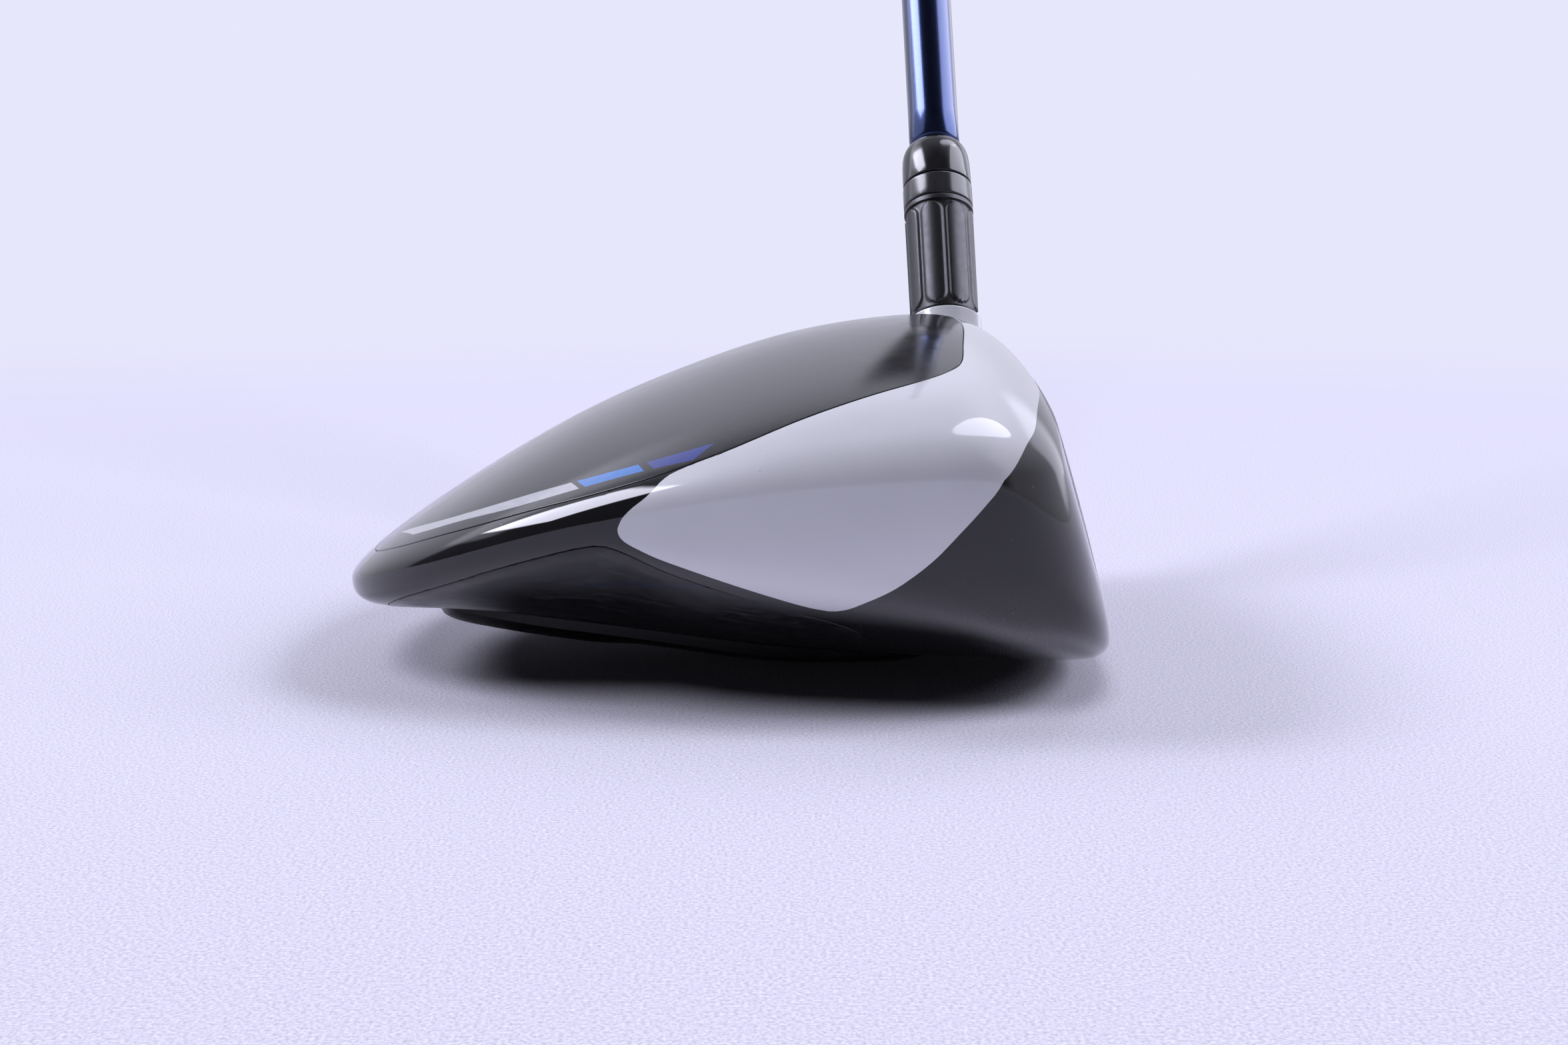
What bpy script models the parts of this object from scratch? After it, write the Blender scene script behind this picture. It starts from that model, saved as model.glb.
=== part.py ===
"""Golf driver: hollow club head, screw-on loft sleeve, shaft and grip.

Lengths in the tables are millimetres; everything is scaled to metres when a
mesh is made.  X points out of the face, Y from the toe to the heel, Z up.
The club stands as it does at address, and the origin is the middle of the flat
pad on the sole that rests on the ground.
"""
import math

import bmesh
import bpy
import numpy as np
from mathutils import Vector

# ---------------------------------------------------------------- dimensions
MM = 0.001
GRID = 5.6                 # usual facet size of the head skin, finer round the rear rim
GAP = 0.4                  # joint between two bonded panels

REAR_X = -73.2             # rear tip of the head
REAR_Z = 16.0
FACE_X = 41.2              # face centre at half height
FACE_Z = 26.0
LOFT = math.radians(15.2)  # face lean as the head rests
BULGE = 300.0              # face radius, heel to toe
ROLL = 300.0               # face radius, sole to crown
MID_Y = -2.0               # ridge line of crown and sole
CROWN_POWER = 2.05
SOLE_POWER = 2.15

LIE = math.radians(57.0)         # shaft to ground
LEAN = -0.015                    # the shaft's slope to the rear as the head rests
SLEEVE_CANT = math.radians(1.0)  # bore of the sleeve against its outside
HOSEL_RIM = (25.76, 58.04, 51.86)  # middle of the hosel's top rim
HOSEL_R = 7.0
HOSEL_BORE = (5.75, 6.3)         # spline crest and groove in the hosel
SPLINE_T = -9.8                  # lower end of the splined part
SEAT_T = (-28.0, -31.0)          # the web that the bolt pulls against
BOLT_WELL_R = 4.8

BODY_T = 2.7
LEDGE_DEPTH = 1.6
LEDGE_W = 4.0
CROWN_T = 1.2
SOLE_T = 1.3
FACE_T = 2.6
SLOT_T = 2.0

KEEL_Y = 3.0
KEEL_X = (-62.0, 21.0)
WEIGHT_X = -45.5
WEIGHT_R = 8.6

CLUB_LENGTH = 1162.0
SHAFT_TIP_R, SHAFT_LOW_R, SHAFT_BUTT_R, SHAFT_WALL = 4.35, 5.0, 7.6, 1.2
GRIP_LENGTH = 266.0

# ------------------------------------------------------------ head: profiles
TOP = [(-73.2, 16.0), (-70, 20.0), (-63, 25.2), (-50, 33.5), (-35, 41.7), (-20, 48.0),
       (-5, 52.9), (10, 55.6), (22, 56.0), (34, 54.0), (48, 49.5), (64, 41.0)]
BOTTOM = [(-73.2, 16.0), (-70, 11.6), (-63, 10.5), (-50, 9.05), (-35, 7.0), (-20, 5.1),
          (-5, 3.4), (10, 2.5), (22, 2.0), (34, 1.9), (48, 3.0), (64, 7.0)]
TOE = [(-73.2, -2.0), (-70, -24.0), (-63, -37.0), (-50, -49.2), (-35, -57.0), (-20, -61.6),
       (-5, -64.6), (10, -66.0), (22, -65.6), (34, -63.0), (48, -57.0), (64, -45.0)]
HEEL = [(-73.2, -2.0), (-70, 19.0), (-63, 31.0), (-50, 42.0), (-35, 49.5), (-20, 54.0),
        (-5, 57.0), (10, 58.6), (22, 58.8), (34, 57.0), (48, 52.0), (64, 42.0)]
WAIST_TOE = [(-73.2, 16.0), (-63, 20.4), (-50, 25.2), (-35, 30.0), (-20, 33.6), (-5, 36.2),
             (10, 37.6), (22, 38.0), (34, 37.4), (48, 35.0), (64, 30.0)]
WAIST_HEEL = [(-73.2, 16.0), (-63, 19.0), (-50, 22.5), (-35, 26.0), (-20, 28.6), (-5, 30.4),
              (10, 31.4), (22, 31.6), (34, 31.0), (48, 29.5), (64, 26.0)]

# Panel outlines on the skin: X in mm, and degrees round the section
# (0 is the toe's waist, 90 the crown, -90 the sole).
CROWN_EDGE = [(22.3, 90), (22.1, 76), (20.6, 60), (19.4, 49), (17.0, 43.9), (13.2, 40.3),
              (6.0, 35.8), (-2.9, 29.9), (-11.6, 23.4), (-18.0, 20.0), (-23.9, 17.8),
              (-32.0, 17.2), (-42.6, 19.7), (-48.8, 22.2), (-55.6, 26.9), (-60.7, 32.2),
              (-65.6, 42.8), (-68.2, 58), (-69.4, 90), (-68.2, 122), (-65.6, 137),
              (-60.0, 148), (-50.0, 157), (-38.0, 161), (-24.0, 162), (-10.0, 158),
              (0.0, 151), (8.0, 143), (14.5, 133), (18.8, 121), (21.6, 106)]
SOLE_EDGE = [(-61.6, -26.3), (-57.6, -19.6), (-48.5, -12.6), (-42.4, -9.7), (-33.8, -7.4),
             (-29.2, -7.6), (-26.0, -11.0), (-20.4, -18.6), (-11.7, -27.2), (-2.9, -35.4),
             (2.2, -40.5), (5.6, -46.5), (7.0, -54.0), (5.4, -63.0), (0.0, -69.5),
             (-12.0, -72.0), (-30.0, -71.0), (-46.0, -66.0), (-56.0, -58.0), (-62.0, -47.0),
             (-63.6, -36.0)]
# Face plate outline: Y, Z.
FACE_EDGE = [(-46, 34), (-40, 42), (-26, 46.5), (-6, 47.6), (14, 46.8), (30, 43.2), (37, 36),
             (37, 26), (31, 16.5), (18, 11.6), (0, 10.2), (-18, 11.4), (-34, 16), (-43, 24)]
# Sole slot: X set back from the leading edge, Y range, half width.
SLOT_X, SLOT_Y, SLOT_HALF = 33.0, (-30.0, 14.0), 2.2
# Edge between the side of the head and the toe side of the sole: X, Y, height.
SOLE_TURN = [(-73.2, -20.0, 12.6), (-70, -26.0, 13.0), (-62, -36.5, 15.4), (-55, -44.5, 19.6), (-48.5, -50.5, 23.0),
             (-40.5, -54.8, 25.8), (-33.8, -57.2, 27.4), (-29, -58.7, 28.0), (-24, -59.4, 26.6), (-19.6, -59.2, 24.8),
             (-10, -59.4, 22.6), (0, -59.4, 21.0), (10, -58.6, 19.4), (15, -57.0, 18.0), (20.6, -54.5, 16.0),
             (24, -50.5, 13.6), (30, -45.5, 10.8), (36.5, -39.5, 8.5), (48, -30.0, 6.0), (64, -20.0, 5.0)]
# Keel under the sole: X, half width, height of its underside.
KEEL_HALF = [(-62, 3.0), (-60, 7.4), (-56, 10.2), (-45.5, 12.3), (-36, 12.6), (-20, 13.2),
             (0, 14.0), (10, 13.0), (17, 9.0), (21, 3.0)]
KEEL_LOW = [(-62, 7.4), (-45.5, 5.1), (-34, 3.6), (-21, 1.9), (-9, 0.4), (-2, 0.0), (14, 0.0), (21, 0.7)]


# ------------------------------------------------------------- small helpers
def unit(v):
    v = np.asarray(v, float)
    return v / np.linalg.norm(v)


def cubic(points):
    """Natural cubic through (x, y) points."""
    xs = np.array([p[0] for p in points], float)
    ys = np.array([p[1] for p in points], float)
    n, h = len(xs), np.diff(xs)
    a, b = np.zeros((n, n)), np.zeros(n)
    a[0, 0] = a[-1, -1] = 1
    for i in range(1, n - 1):
        a[i, i - 1:i + 2] = h[i - 1], 2 * (h[i - 1] + h[i]), h[i]
        b[i] = 6 * ((ys[i + 1] - ys[i]) / h[i] - (ys[i] - ys[i - 1]) / h[i - 1])
    m = np.linalg.solve(a, b)

    def value(x):
        x = np.clip(x, xs[0], xs[-1])
        i = np.clip(np.searchsorted(xs, x) - 1, 0, n - 2)
        d, e, w = x - xs[i], xs[i + 1] - x, h[i]
        return ((m[i] * e ** 3 + m[i + 1] * d ** 3) / (6 * w)
                + (ys[i] / w - m[i] * w / 6) * e + (ys[i + 1] / w - m[i + 1] * w / 6) * d)
    return value


def rounded(points):
    """A profile that starts round at the rear tip, so it is a curve of the root of X."""
    curve = cubic([(math.sqrt(x - REAR_X), y) for x, y in points])
    return lambda x: curve(np.sqrt(np.maximum(x - REAR_X, 0)))


def smooth_max(a, b, k):
    h = np.maximum(k - np.abs(a - b), 0) / k
    return np.maximum(a, b) + h * h * k / 4


def smooth_min(a, b, k):
    return -smooth_max(-a, -b, k)


def ease(t):
    t = np.clip(t, 0, 1)
    return t * t * (3 - 2 * t)


def slope(f, p, e=0.02):
    g = np.empty_like(p)
    for i in range(3):
        d = np.zeros(3)
        d[i] = e
        g[..., i] = (f(p + d) - f(p - d)) / (2 * e)
    return g


# ------------------------------------------------------------- head: surface
z_top, z_bottom = rounded(TOP), rounded(BOTTOM)
y_toe, y_heel = rounded(TOE), rounded(HEEL)
waist_toe, waist_heel = cubic(WAIST_TOE), cubic(WAIST_HEEL)
turn_y, turn_z = cubic([(x, y) for x, y, z in SOLE_TURN]), cubic([(x, z) for x, y, z in SOLE_TURN])
HOSEL_AXIS = unit([LEAN, math.cos(LIE + SLEEVE_CANT), math.sin(LIE + SLEEVE_CANT)])
SHAFT_AXIS = unit([LEAN, math.cos(LIE), math.sin(LIE)])
RIM = np.array(HOSEL_RIM)
PIVOT = RIM + 6.0 * HOSEL_AXIS       # where the shaft's line crosses the hosel's
BUTT_S = CLUB_LENGTH - PIVOT[2] / math.sin(LIE)


def section(p):
    """Where a point lies in its cross section: sideways and up, each 1 at the skin."""
    x, y, z = np.maximum(p[..., 0], REAR_X + 1e-3), p[..., 1], p[..., 2]
    side = y - MID_Y
    half = np.where(side < 0, MID_Y - y_toe(x), y_heel(x) - MID_Y)
    t = ease(0.5 + side / 80.0)
    waist = waist_toe(x) * (1 - t) + waist_heel(x) * t
    tall = np.where(z > waist, z_top(x) - waist, waist - z_bottom(x))
    return side / np.maximum(half, 0.05), (z - waist) / np.maximum(tall, 0.05)


def shell_raw(p):
    u, v = section(p)
    power = np.where(v > 0, CROWN_POWER, SOLE_POWER)
    r = (np.abs(u) ** power + np.abs(v) ** power + 1e-12) ** (1 / power) - 1
    return r + np.maximum(REAR_X + 0.01 - p[..., 0], 0)


def shell(p):
    return shell_raw(p) / np.maximum(np.linalg.norm(slope(shell_raw, p), axis=-1), 0.004)


def face_side(p):
    x, y, z = p[..., 0], p[..., 1], p[..., 2]
    at = (FACE_X - (z - FACE_Z) * math.tan(LOFT) - (y - 2) ** 2 / (2 * BULGE)
          - (z - FACE_Z) ** 2 / (2 * ROLL))
    return (x - at) * math.cos(LOFT)


def along_hosel(p):
    q = p - RIM
    t = q @ HOSEL_AXIS
    return t, np.linalg.norm(q - t[..., None] * HOSEL_AXIS, axis=-1)


def sole_side(p):
    """How far a point is below the toe side of the sole, which runs nearly flat from the keel to its edge."""
    x, y, z = np.maximum(p[..., 0], REAR_X), p[..., 1], p[..., 2]
    foot = z_bottom(x) - 0.3
    way = (-10.0 - y) / (-10.0 - turn_y(x))
    return 0.9 * (foot + (turn_z(x) - foot) * (0.7 * way + 0.3 * np.maximum(way, 0) ** 2) - z)


def head(p):
    """Below zero inside the head, above zero outside."""
    edge = 5.0 + 8.0 * ease((p[..., 2] - 6) / 30.0)
    body = smooth_max(smooth_max(shell(p), face_side(p), edge), sole_side(p), 3.0)
    t, r = along_hosel(p)
    neck = np.maximum(r - HOSEL_R - 0.06 * np.maximum(-t - 3, 0), -t - 34.0)
    return smooth_min(body, neck, 9.0)


def settle(p, steps=4):
    for _ in range(steps):
        p[:, 0] = np.maximum(p[:, 0], REAR_X + 0.03)
        g = slope(head, p)
        pull = head(p)[:, None] * g / np.maximum((g * g).sum(-1, keepdims=True), 1e-6)
        p = p - np.clip(pull, -1.5, 1.5)
    return p


def ticks(*runs):
    """Grid lines: runs of (start, end, spacing)."""
    out = []
    for start, end, size in runs:
        n = max(1, round((end - start) / size))
        out += [start + (end - start) * k / n for k in range(n)]
    return np.array(out + [runs[-1][1]])


def skin_mesh(lines):
    """Triangles over the surface where head() is zero: one point per crossed grid cell."""
    counts = [len(line) for line in lines]
    grid = np.stack(np.meshgrid(*lines, indexing="ij"), axis=-1)
    value = head(grid.reshape(-1, 3)).reshape(counts)
    inside = value < 0
    cells = tuple(n - 1 for n in counts)
    total, crossed = np.zeros(cells + (3,)), np.zeros(cells)

    def at(c):
        return tuple(slice(c[i], c[i] + cells[i]) for i in range(3))

    for corner in [(i, j, k) for i in (0, 1) for j in (0, 1) for k in (0, 1)]:
        for axis in range(3):
            if corner[axis]:
                continue
            other = list(corner)
            other[axis] = 1
            a, b = value[at(corner)], value[at(other)]
            hit = (a < 0) != (b < 0)
            t = np.where(hit, a / np.where(hit, a - b, 1), 0)[..., None]
            total += np.where(hit[..., None], grid[at(corner)] * (1 - t) + grid[at(other)] * t, 0)
            crossed += hit
    used = crossed > 0
    index = -np.ones(cells, int)
    index[used] = np.arange(used.sum())
    points = settle(total[used] / crossed[used][:, None])
    quads = []
    for axis in range(3):
        others = [i for i in range(3) if i != axis]
        first, second = [slice(None)] * 3, [slice(None)] * 3
        first[axis], second[axis] = slice(0, counts[axis] - 1), slice(1, counts[axis])
        for i in others:
            first[i] = second[i] = slice(1, counts[i] - 1)
        a, b = inside[tuple(first)], inside[tuple(second)]
        where = np.argwhere(a != b)
        turned = b[tuple(where.T)]
        for i in others:
            where[:, i] += 1

        def cell(da, db):
            c = where.copy()
            c[:, others[0]] -= da
            c[:, others[1]] -= db
            return index[tuple(c.T)]
        quad = np.stack([cell(1, 1), cell(0, 1), cell(0, 0), cell(1, 0)], axis=1)
        if axis == 1:
            quad = quad[:, ::-1]
        quads.append(np.where(turned[:, None], quad[:, ::-1], quad))
    quads = np.concatenate(quads)
    d0 = np.linalg.norm(points[quads[:, 0]] - points[quads[:, 2]], axis=1)
    d1 = np.linalg.norm(points[quads[:, 1]] - points[quads[:, 3]], axis=1)
    tris = [np.where((d0 < d1)[:, None], quads[:, [0, 1, 2]], quads[:, [0, 1, 3]]),
            np.where((d0 < d1)[:, None], quads[:, [0, 2, 3]], quads[:, [1, 2, 3]])]
    return points, np.concatenate(tris)


# ----------------------------------------------------- head: panel boundaries
def closed_curve(points, per=8):
    """Closed smooth curve through the points, as a dense polygon."""
    p = np.array(points, float)
    n, out = len(p), []
    for i in range(n):
        a, b, c, d = p[i - 1], p[i], p[(i + 1) % n], p[(i + 2) % n]
        for k in range(per):
            t = k / per
            out.append(0.5 * (2 * b + (c - a) * t + (2 * a - 5 * b + 4 * c - d) * t * t
                              + (3 * b - a - 3 * c + d) * t ** 3))
    return np.array(out)


def to_outline(q, outline):
    """Signed distance of 2-D points to a polygon, below zero inside."""
    best, odd = np.full(len(q), 1e9), np.zeros(len(q), bool)
    for a, b in zip(outline, np.roll(outline, -1, axis=0)):
        d = b - a
        t = np.clip(((q - a) @ d) / max(d @ d, 1e-12), 0, 1)
        best = np.minimum(best, np.linalg.norm(q - a - t[:, None] * d, axis=1))
        over = (a[1] > q[:, 1]) != (b[1] > q[:, 1])
        if d[1]:
            odd ^= over & (q[:, 0] < a[0] + (q[:, 1] - a[1]) / d[1] * d[0])
    return np.where(odd, -best, best)


DEGREE = 0.6      # mm on the chart for each degree round the section


def round_chart(p, side):
    u, v = section(p)
    return np.stack([p[:, 0], DEGREE * np.degrees(np.arctan2(v, -side * u))], axis=1)


def scaled(points):
    return [(x, DEGREE * a) for x, a in points]


CROWN_LINE = closed_curve(scaled(CROWN_EDGE))
SOLE_LINE = closed_curve(scaled(SOLE_EDGE))
FACE_LINE = closed_curve(FACE_EDGE)


def crown_field(p):
    return to_outline(round_chart(p, 1), CROWN_LINE)


def toe_sole_field(p):
    return to_outline(round_chart(p, 1), SOLE_LINE)


def heel_sole_field(p):
    return to_outline(round_chart(p, -1), SOLE_LINE)


def face_field(p):
    return np.where(face_side(p) > -6, to_outline(p[:, 1:], FACE_LINE), 20.0)


def rim_field(p):
    return along_hosel(p)[0]


def outward(p):
    g = slope(head, p)
    return g / np.linalg.norm(g, axis=1, keepdims=True)


def tangents(normal):
    a = np.cross(normal, [0.31, 0.52, 0.79])
    a /= np.linalg.norm(a, axis=1, keepdims=True)
    return a, np.cross(normal, a)


def climb(field, p, normal, e=0.4):
    """How fast the field grows along the skin, as a vector."""
    a, b = tangents(normal)
    ga, gb = ((field(p + e * d) - field(p - e * d))[:, None] / (2 * e) for d in (a, b))
    return ga * a + gb * b


def on_skin(field, p, normal):
    """The field in true millimetres along the skin near its zero line."""
    grow = np.linalg.norm(climb(field, p, normal), axis=1)
    return field(p) / np.clip(grow, 0.25, 4.0)


def uphill(field, p):
    g = climb(field, p, outward(p))
    return g / np.maximum(np.linalg.norm(g, axis=1, keepdims=True), 1e-6)


class Skin:
    """A triangle mesh of the head's surface that can be cut along level lines."""

    def __init__(self, size, fields):
        self.p, self.t = skin_mesh((ticks((-77, -58, 0.62 * size), (-58, 52, 1.12 * size)),
                                    ticks((-72, 77, 1.05 * size)),
                                    ticks((-3, 34, 0.75 * size), (34, 67, 1.05 * size))))
        self.snap = 0.24 * size
        self.make = fields
        self.field = {k: on_skin(f, self.p, outward(self.p)) for k, f in fields.items()}

    def move(self, who, by):
        """Slide some points along the skin and read their fields again."""
        self.p[who] = settle(self.p[who] + by, 2)
        for k, f in self.make.items():
            self.field[k][who] = on_skin(f, self.p[who], outward(self.p[who]))

    def cut(self, name, level):
        """Put the line where a field has this level on the mesh's edges."""
        f = self.field[name] - level
        for _ in range(2):
            near = np.flatnonzero(np.abs(f) < self.snap)
            self.move(near, -f[near, None] * uphill(self.make[name], self.p[near]))
            f[near] = self.field[name][near] - level
        f[near] = 0.0
        self.field[name] = f + level
        sign = np.sign(f).astype(int)
        s = sign[self.t]
        crossing = (s.min(1) < 0) & (s.max(1) > 0)
        keep = [tuple(t) for t in self.t[~crossing]]
        points, made, start = [], {}, len(self.p)

        def between(i, j):
            key = (min(i, j), max(i, j))
            if key not in made:
                w = f[i] / (f[i] - f[j])
                made[key] = start + len(points)
                points.append(self.p[i] * (1 - w) + self.p[j] * w)
            return made[key]

        for tri in self.t[crossing]:
            tri = [int(i) for i in tri]
            zero = [i for i in range(3) if sign[tri[i]] == 0]
            if zero:
                a, b, c = (tri[(zero[0] + i) % 3] for i in range(3))
                m = between(b, c)
                keep += [(a, b, m), (a, m, c)]
                continue
            lone = next(i for i in range(3)
                        if sign[tri[i]] != sign[tri[i - 1]] and sign[tri[i]] != sign[tri[i - 2]])
            a, b, c = (tri[(lone + i) % 3] for i in range(3))
            m, n = between(a, b), between(a, c)
            keep += [(a, m, n), (m, b, c), (m, c, n)]
        if points:
            new = settle(np.array(points), 2)
            on = on_skin(self.make[name], new, outward(new)) - level
            new = settle(new - on[:, None] * uphill(self.make[name], new), 2)
            self.p = np.concatenate([self.p, new])
            for k, f in self.make.items():
                at = np.full(len(new), level) if k == name else on_skin(f, new, outward(new))
                self.field[k] = np.concatenate([self.field[k], at])
        self.t = np.array(keep)

    def level(self, name):
        return self.field[name][self.t].mean(axis=1)

    def spread(self, by):
        """The points with those on a joint line moved across it, to leave a gap."""
        p = self.p.copy()
        for name in ("crown", "toe", "heel", "face"):
            on = np.flatnonzero(np.abs(self.field[name]) < 1e-9)
            p[on] = settle(p[on] + by * uphill(self.make[name], p[on]), 2)
        return p


def border(tris):
    """Directed edges that only one of these triangles uses."""
    edges = {}
    for a, b, c in tris:
        for e in ((a, b), (b, c), (c, a)):
            edges[e] = True
    return [e for e in edges if (e[1], e[0]) not in edges]


# ----------------------------------------------------------- making of objects
def material(name, colour, metallic, rough):
    m = bpy.data.materials.new(name)
    m.use_nodes = True
    shader = m.node_tree.nodes["Principled BSDF"]
    shader.inputs["Base Color"].default_value = (*colour, 1)
    shader.inputs["Metallic"].default_value = metallic
    shader.inputs["Roughness"].default_value = rough
    m.diffuse_color = (*colour, 1)
    return m


def node(name, points, faces, look, origin=(0, 0, 0), smooth=True):
    """A mesh object from millimetre points; the origin sits on the piece's own axis."""
    origin = np.asarray(origin, float)
    used = sorted({i for f in faces for i in f})
    number = {k: i for i, k in enumerate(used)}
    mesh = bpy.data.meshes.new(name)
    mesh.from_pydata([tuple((np.asarray(points[k]) - origin) * MM) for k in used], [],
                     [tuple(number[i] for i in f) for f in faces])
    mesh.validate()
    bm = bmesh.new()
    bm.from_mesh(mesh)
    bmesh.ops.recalc_face_normals(bm, faces=bm.faces)
    bm.to_mesh(mesh)
    bm.free()
    for polygon in mesh.polygons:
        polygon.use_smooth = smooth
    obj = bpy.data.objects.new(name, mesh)
    obj.location = Vector(origin * MM)
    bpy.context.scene.collection.objects.link(obj)
    if look:
        mesh.materials.append(material(name + "_look", *look))
    return obj


def frame_of(axis):
    a = unit(axis)
    x = np.array([1.0, 0, 0])
    x = unit(x - (x @ a) * a)
    return x, np.cross(a, x), a


def ring(centre, axis, radius, n, low=None, every=2):
    """Points of a circle, or of a toothed wheel when every few points have the lower radius."""
    x, y, _ = frame_of(axis)
    out = []
    for i in range(n):
        r = radius if low is None or i % every else low
        t = 2 * math.pi * i / n
        out.append(np.asarray(centre) + r * (math.cos(t) * x + math.sin(t) * y))
    return out


def stack(rings, ends):
    """Faces through a pile of rings; ends are 'cap', or 'loop' to close last to first."""
    n = len(rings[0])
    points = [p for r in rings for p in r]
    faces = []
    m = len(rings)
    for i in range(m if ends == "loop" else m - 1):
        j = (i + 1) % m
        for k in range(n):
            l = (k + 1) % n
            faces.append((i * n + k, i * n + l, j * n + l, j * n + k))
    if ends == "cap":
        faces += [tuple(range(n))[::-1], tuple((m - 1) * n + k for k in range(n))]
    return points, faces


def on_hosel(t):
    return RIM + t * HOSEL_AXIS


def on_shaft(s):
    return PIVOT + s * SHAFT_AXIS


def turned(name, profile, place, axis, look, n=24, ends="loop", origin=None):
    """A turned piece: profile of (along, radius), with a lower radius and its spacing where it is toothed."""
    rings = [ring(place(q[0]), axis, q[1], n, *q[2:]) for q in profile]
    points, faces = stack(rings, ends)
    return node(name, points, faces, look, place(profile[0][0]) if origin is None else origin)


def tool(obj):
    obj.hide_render = True
    obj.display_type = "WIRE"
    return obj


def combine(obj, other, operation):
    m = obj.modifiers.new(operation.lower() + "_" + other.name, "BOOLEAN")
    m.operation, m.solver, m.object = operation, "EXACT", tool(other)


def clear_scene():
    for obj in list(bpy.data.objects):
        bpy.data.objects.remove(obj, do_unlink=True)


# --------------------------------------------------------------------- colours
WHITE = ((0.78, 0.78, 0.82), 0.0, 0.25)
CARBON = ((0.02, 0.02, 0.022), 0.0, 0.25)
SOLE_CARBON = ((0.025, 0.025, 0.03), 0.0, 0.4)
DARK = ((0.03, 0.03, 0.035), 0.0, 0.3)
FACE_GREY = ((0.10, 0.10, 0.11), 0.8, 0.45)
STEEL = ((0.45, 0.45, 0.47), 1.0, 0.35)
GUNMETAL = ((0.10, 0.10, 0.11), 1.0, 0.4)
PLASTIC = ((0.012, 0.012, 0.013), 0.0, 0.4)
BLUE = ((0.01, 0.035, 0.12), 0.4, 0.25)
RUBBER = ((0.02, 0.02, 0.02), 0.0, 0.8)
PALE = ((0.6, 0.6, 0.55), 0.0, 0.6)


# ------------------------------------------------------------------- the pieces
def sole_height(x, y, depth=0.0):
    """Height of the head's underside (or of the surface at a depth inside it) at X, Y."""
    x, y = np.broadcast_arrays(np.asarray(x, float), np.asarray(y, float))
    low, high = np.full(x.shape, -4.0), np.full(x.shape, 22.0)
    for _ in range(30):
        mid = (low + high) / 2
        out = head(np.stack([x, y, mid], axis=-1)) > -depth
        low, high = np.where(out, mid, low), np.where(out, high, mid)
    return (low + high) / 2


def panel(skin, name, mask, depth, look):
    """Part of the skin made into a sheet of even thickness."""
    p = skin.spread(-GAP / 2)
    n, inner = len(p), p - depth * outward(p)
    tris = skin.t[mask]
    faces = [tuple(t) for t in tris] + [(c + n, b + n, a + n) for a, b, c in tris]
    for a, b in border(tris):
        faces.append((b, a, a + n, b + n))
    return node(name, np.concatenate([p, inner]), faces, look)


def body(skin, mask, ledge, look):
    """The cast frame: skin, and the bonding ledges under the panels."""
    p = skin.spread(GAP / 2)
    n, normal = len(p), outward(p)
    points = np.concatenate([p, p - LEDGE_DEPTH * normal, p - BODY_T * normal])
    outer, step, both = skin.t[mask], skin.t[ledge], skin.t[mask | ledge]
    faces = [tuple(t) for t in outer] + [tuple(t + n) for t in step]
    faces += [(c + 2 * n, b + 2 * n, a + 2 * n) for a, b, c in both]
    for a, b in border(outer):
        faces.append((b, a, a + n, b + n))
    for a, b in border(both):
        faces.append((b + n, a + n, a + 2 * n, b + 2 * n))
    return node("head_body", points, faces, look)


def slot_strip(half, ends, low, high):
    """A curved strip along the slot: across is its half width, low and high its heights."""
    rows = []
    for k in range(11):
        y = ends[0] + (ends[1] - ends[0]) * k / 10
        w = half * (0.45 if k in (0, 10) else 1.0)
        x = SLOT_X - (y - 2) ** 2 / (2 * BULGE)
        rows.append([np.array([x + dx, y, f(x + dx, y)])
                     for dx, f in ((-w, low), (w, low), (w, high), (-w, high))])
    return stack(rows, "cap")


def slot_tool():
    points, faces = slot_strip(SLOT_HALF, SLOT_Y, lambda x, y: -6.0, lambda x, y: 14.0)
    return node("slot_tool", points, faces, None)


def build_slot():
    points, faces = slot_strip(SLOT_HALF - 0.35, (SLOT_Y[0] + 0.35, SLOT_Y[1] - 0.35),
                               lambda x, y: float(sole_height(x, y)) + 0.2,
                               lambda x, y: float(sole_height(x, y)) + 0.2 + SLOT_T)
    node("slot_insert", points, faces, PLASTIC)


def hosel_tube():
    n, r = 24, 6.6
    foot = []
    for p in ring(on_hosel(0), HOSEL_AXIS, r, n):
        low, high = -75.0, -41.0
        for _ in range(30):
            mid = (low + high) / 2
            if head((p + mid * HOSEL_AXIS)[None])[0] > -1.2:
                low = mid
            else:
                high = mid
        foot.append(p + low * HOSEL_AXIS)
    points, faces = stack([foot, ring(on_hosel(-0.6), HOSEL_AXIS, r, n)], "cap")
    return node("hosel_tube_tool", points, faces, None)


def hosel_bore():
    crest, groove = HOSEL_BORE
    return turned("hosel_bore_tool", [(-80, BOLT_WELL_R), (SEAT_T[1], BOLT_WELL_R), (SEAT_T[1], 3.2),
                                      (SEAT_T[0], 3.2), (SEAT_T[0], crest), (SPLINE_T, crest),
                                      (SPLINE_T + 0.01, groove, crest), (6, groove, crest)],
                  on_hosel, HOSEL_AXIS, None, 24, "cap")


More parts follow.
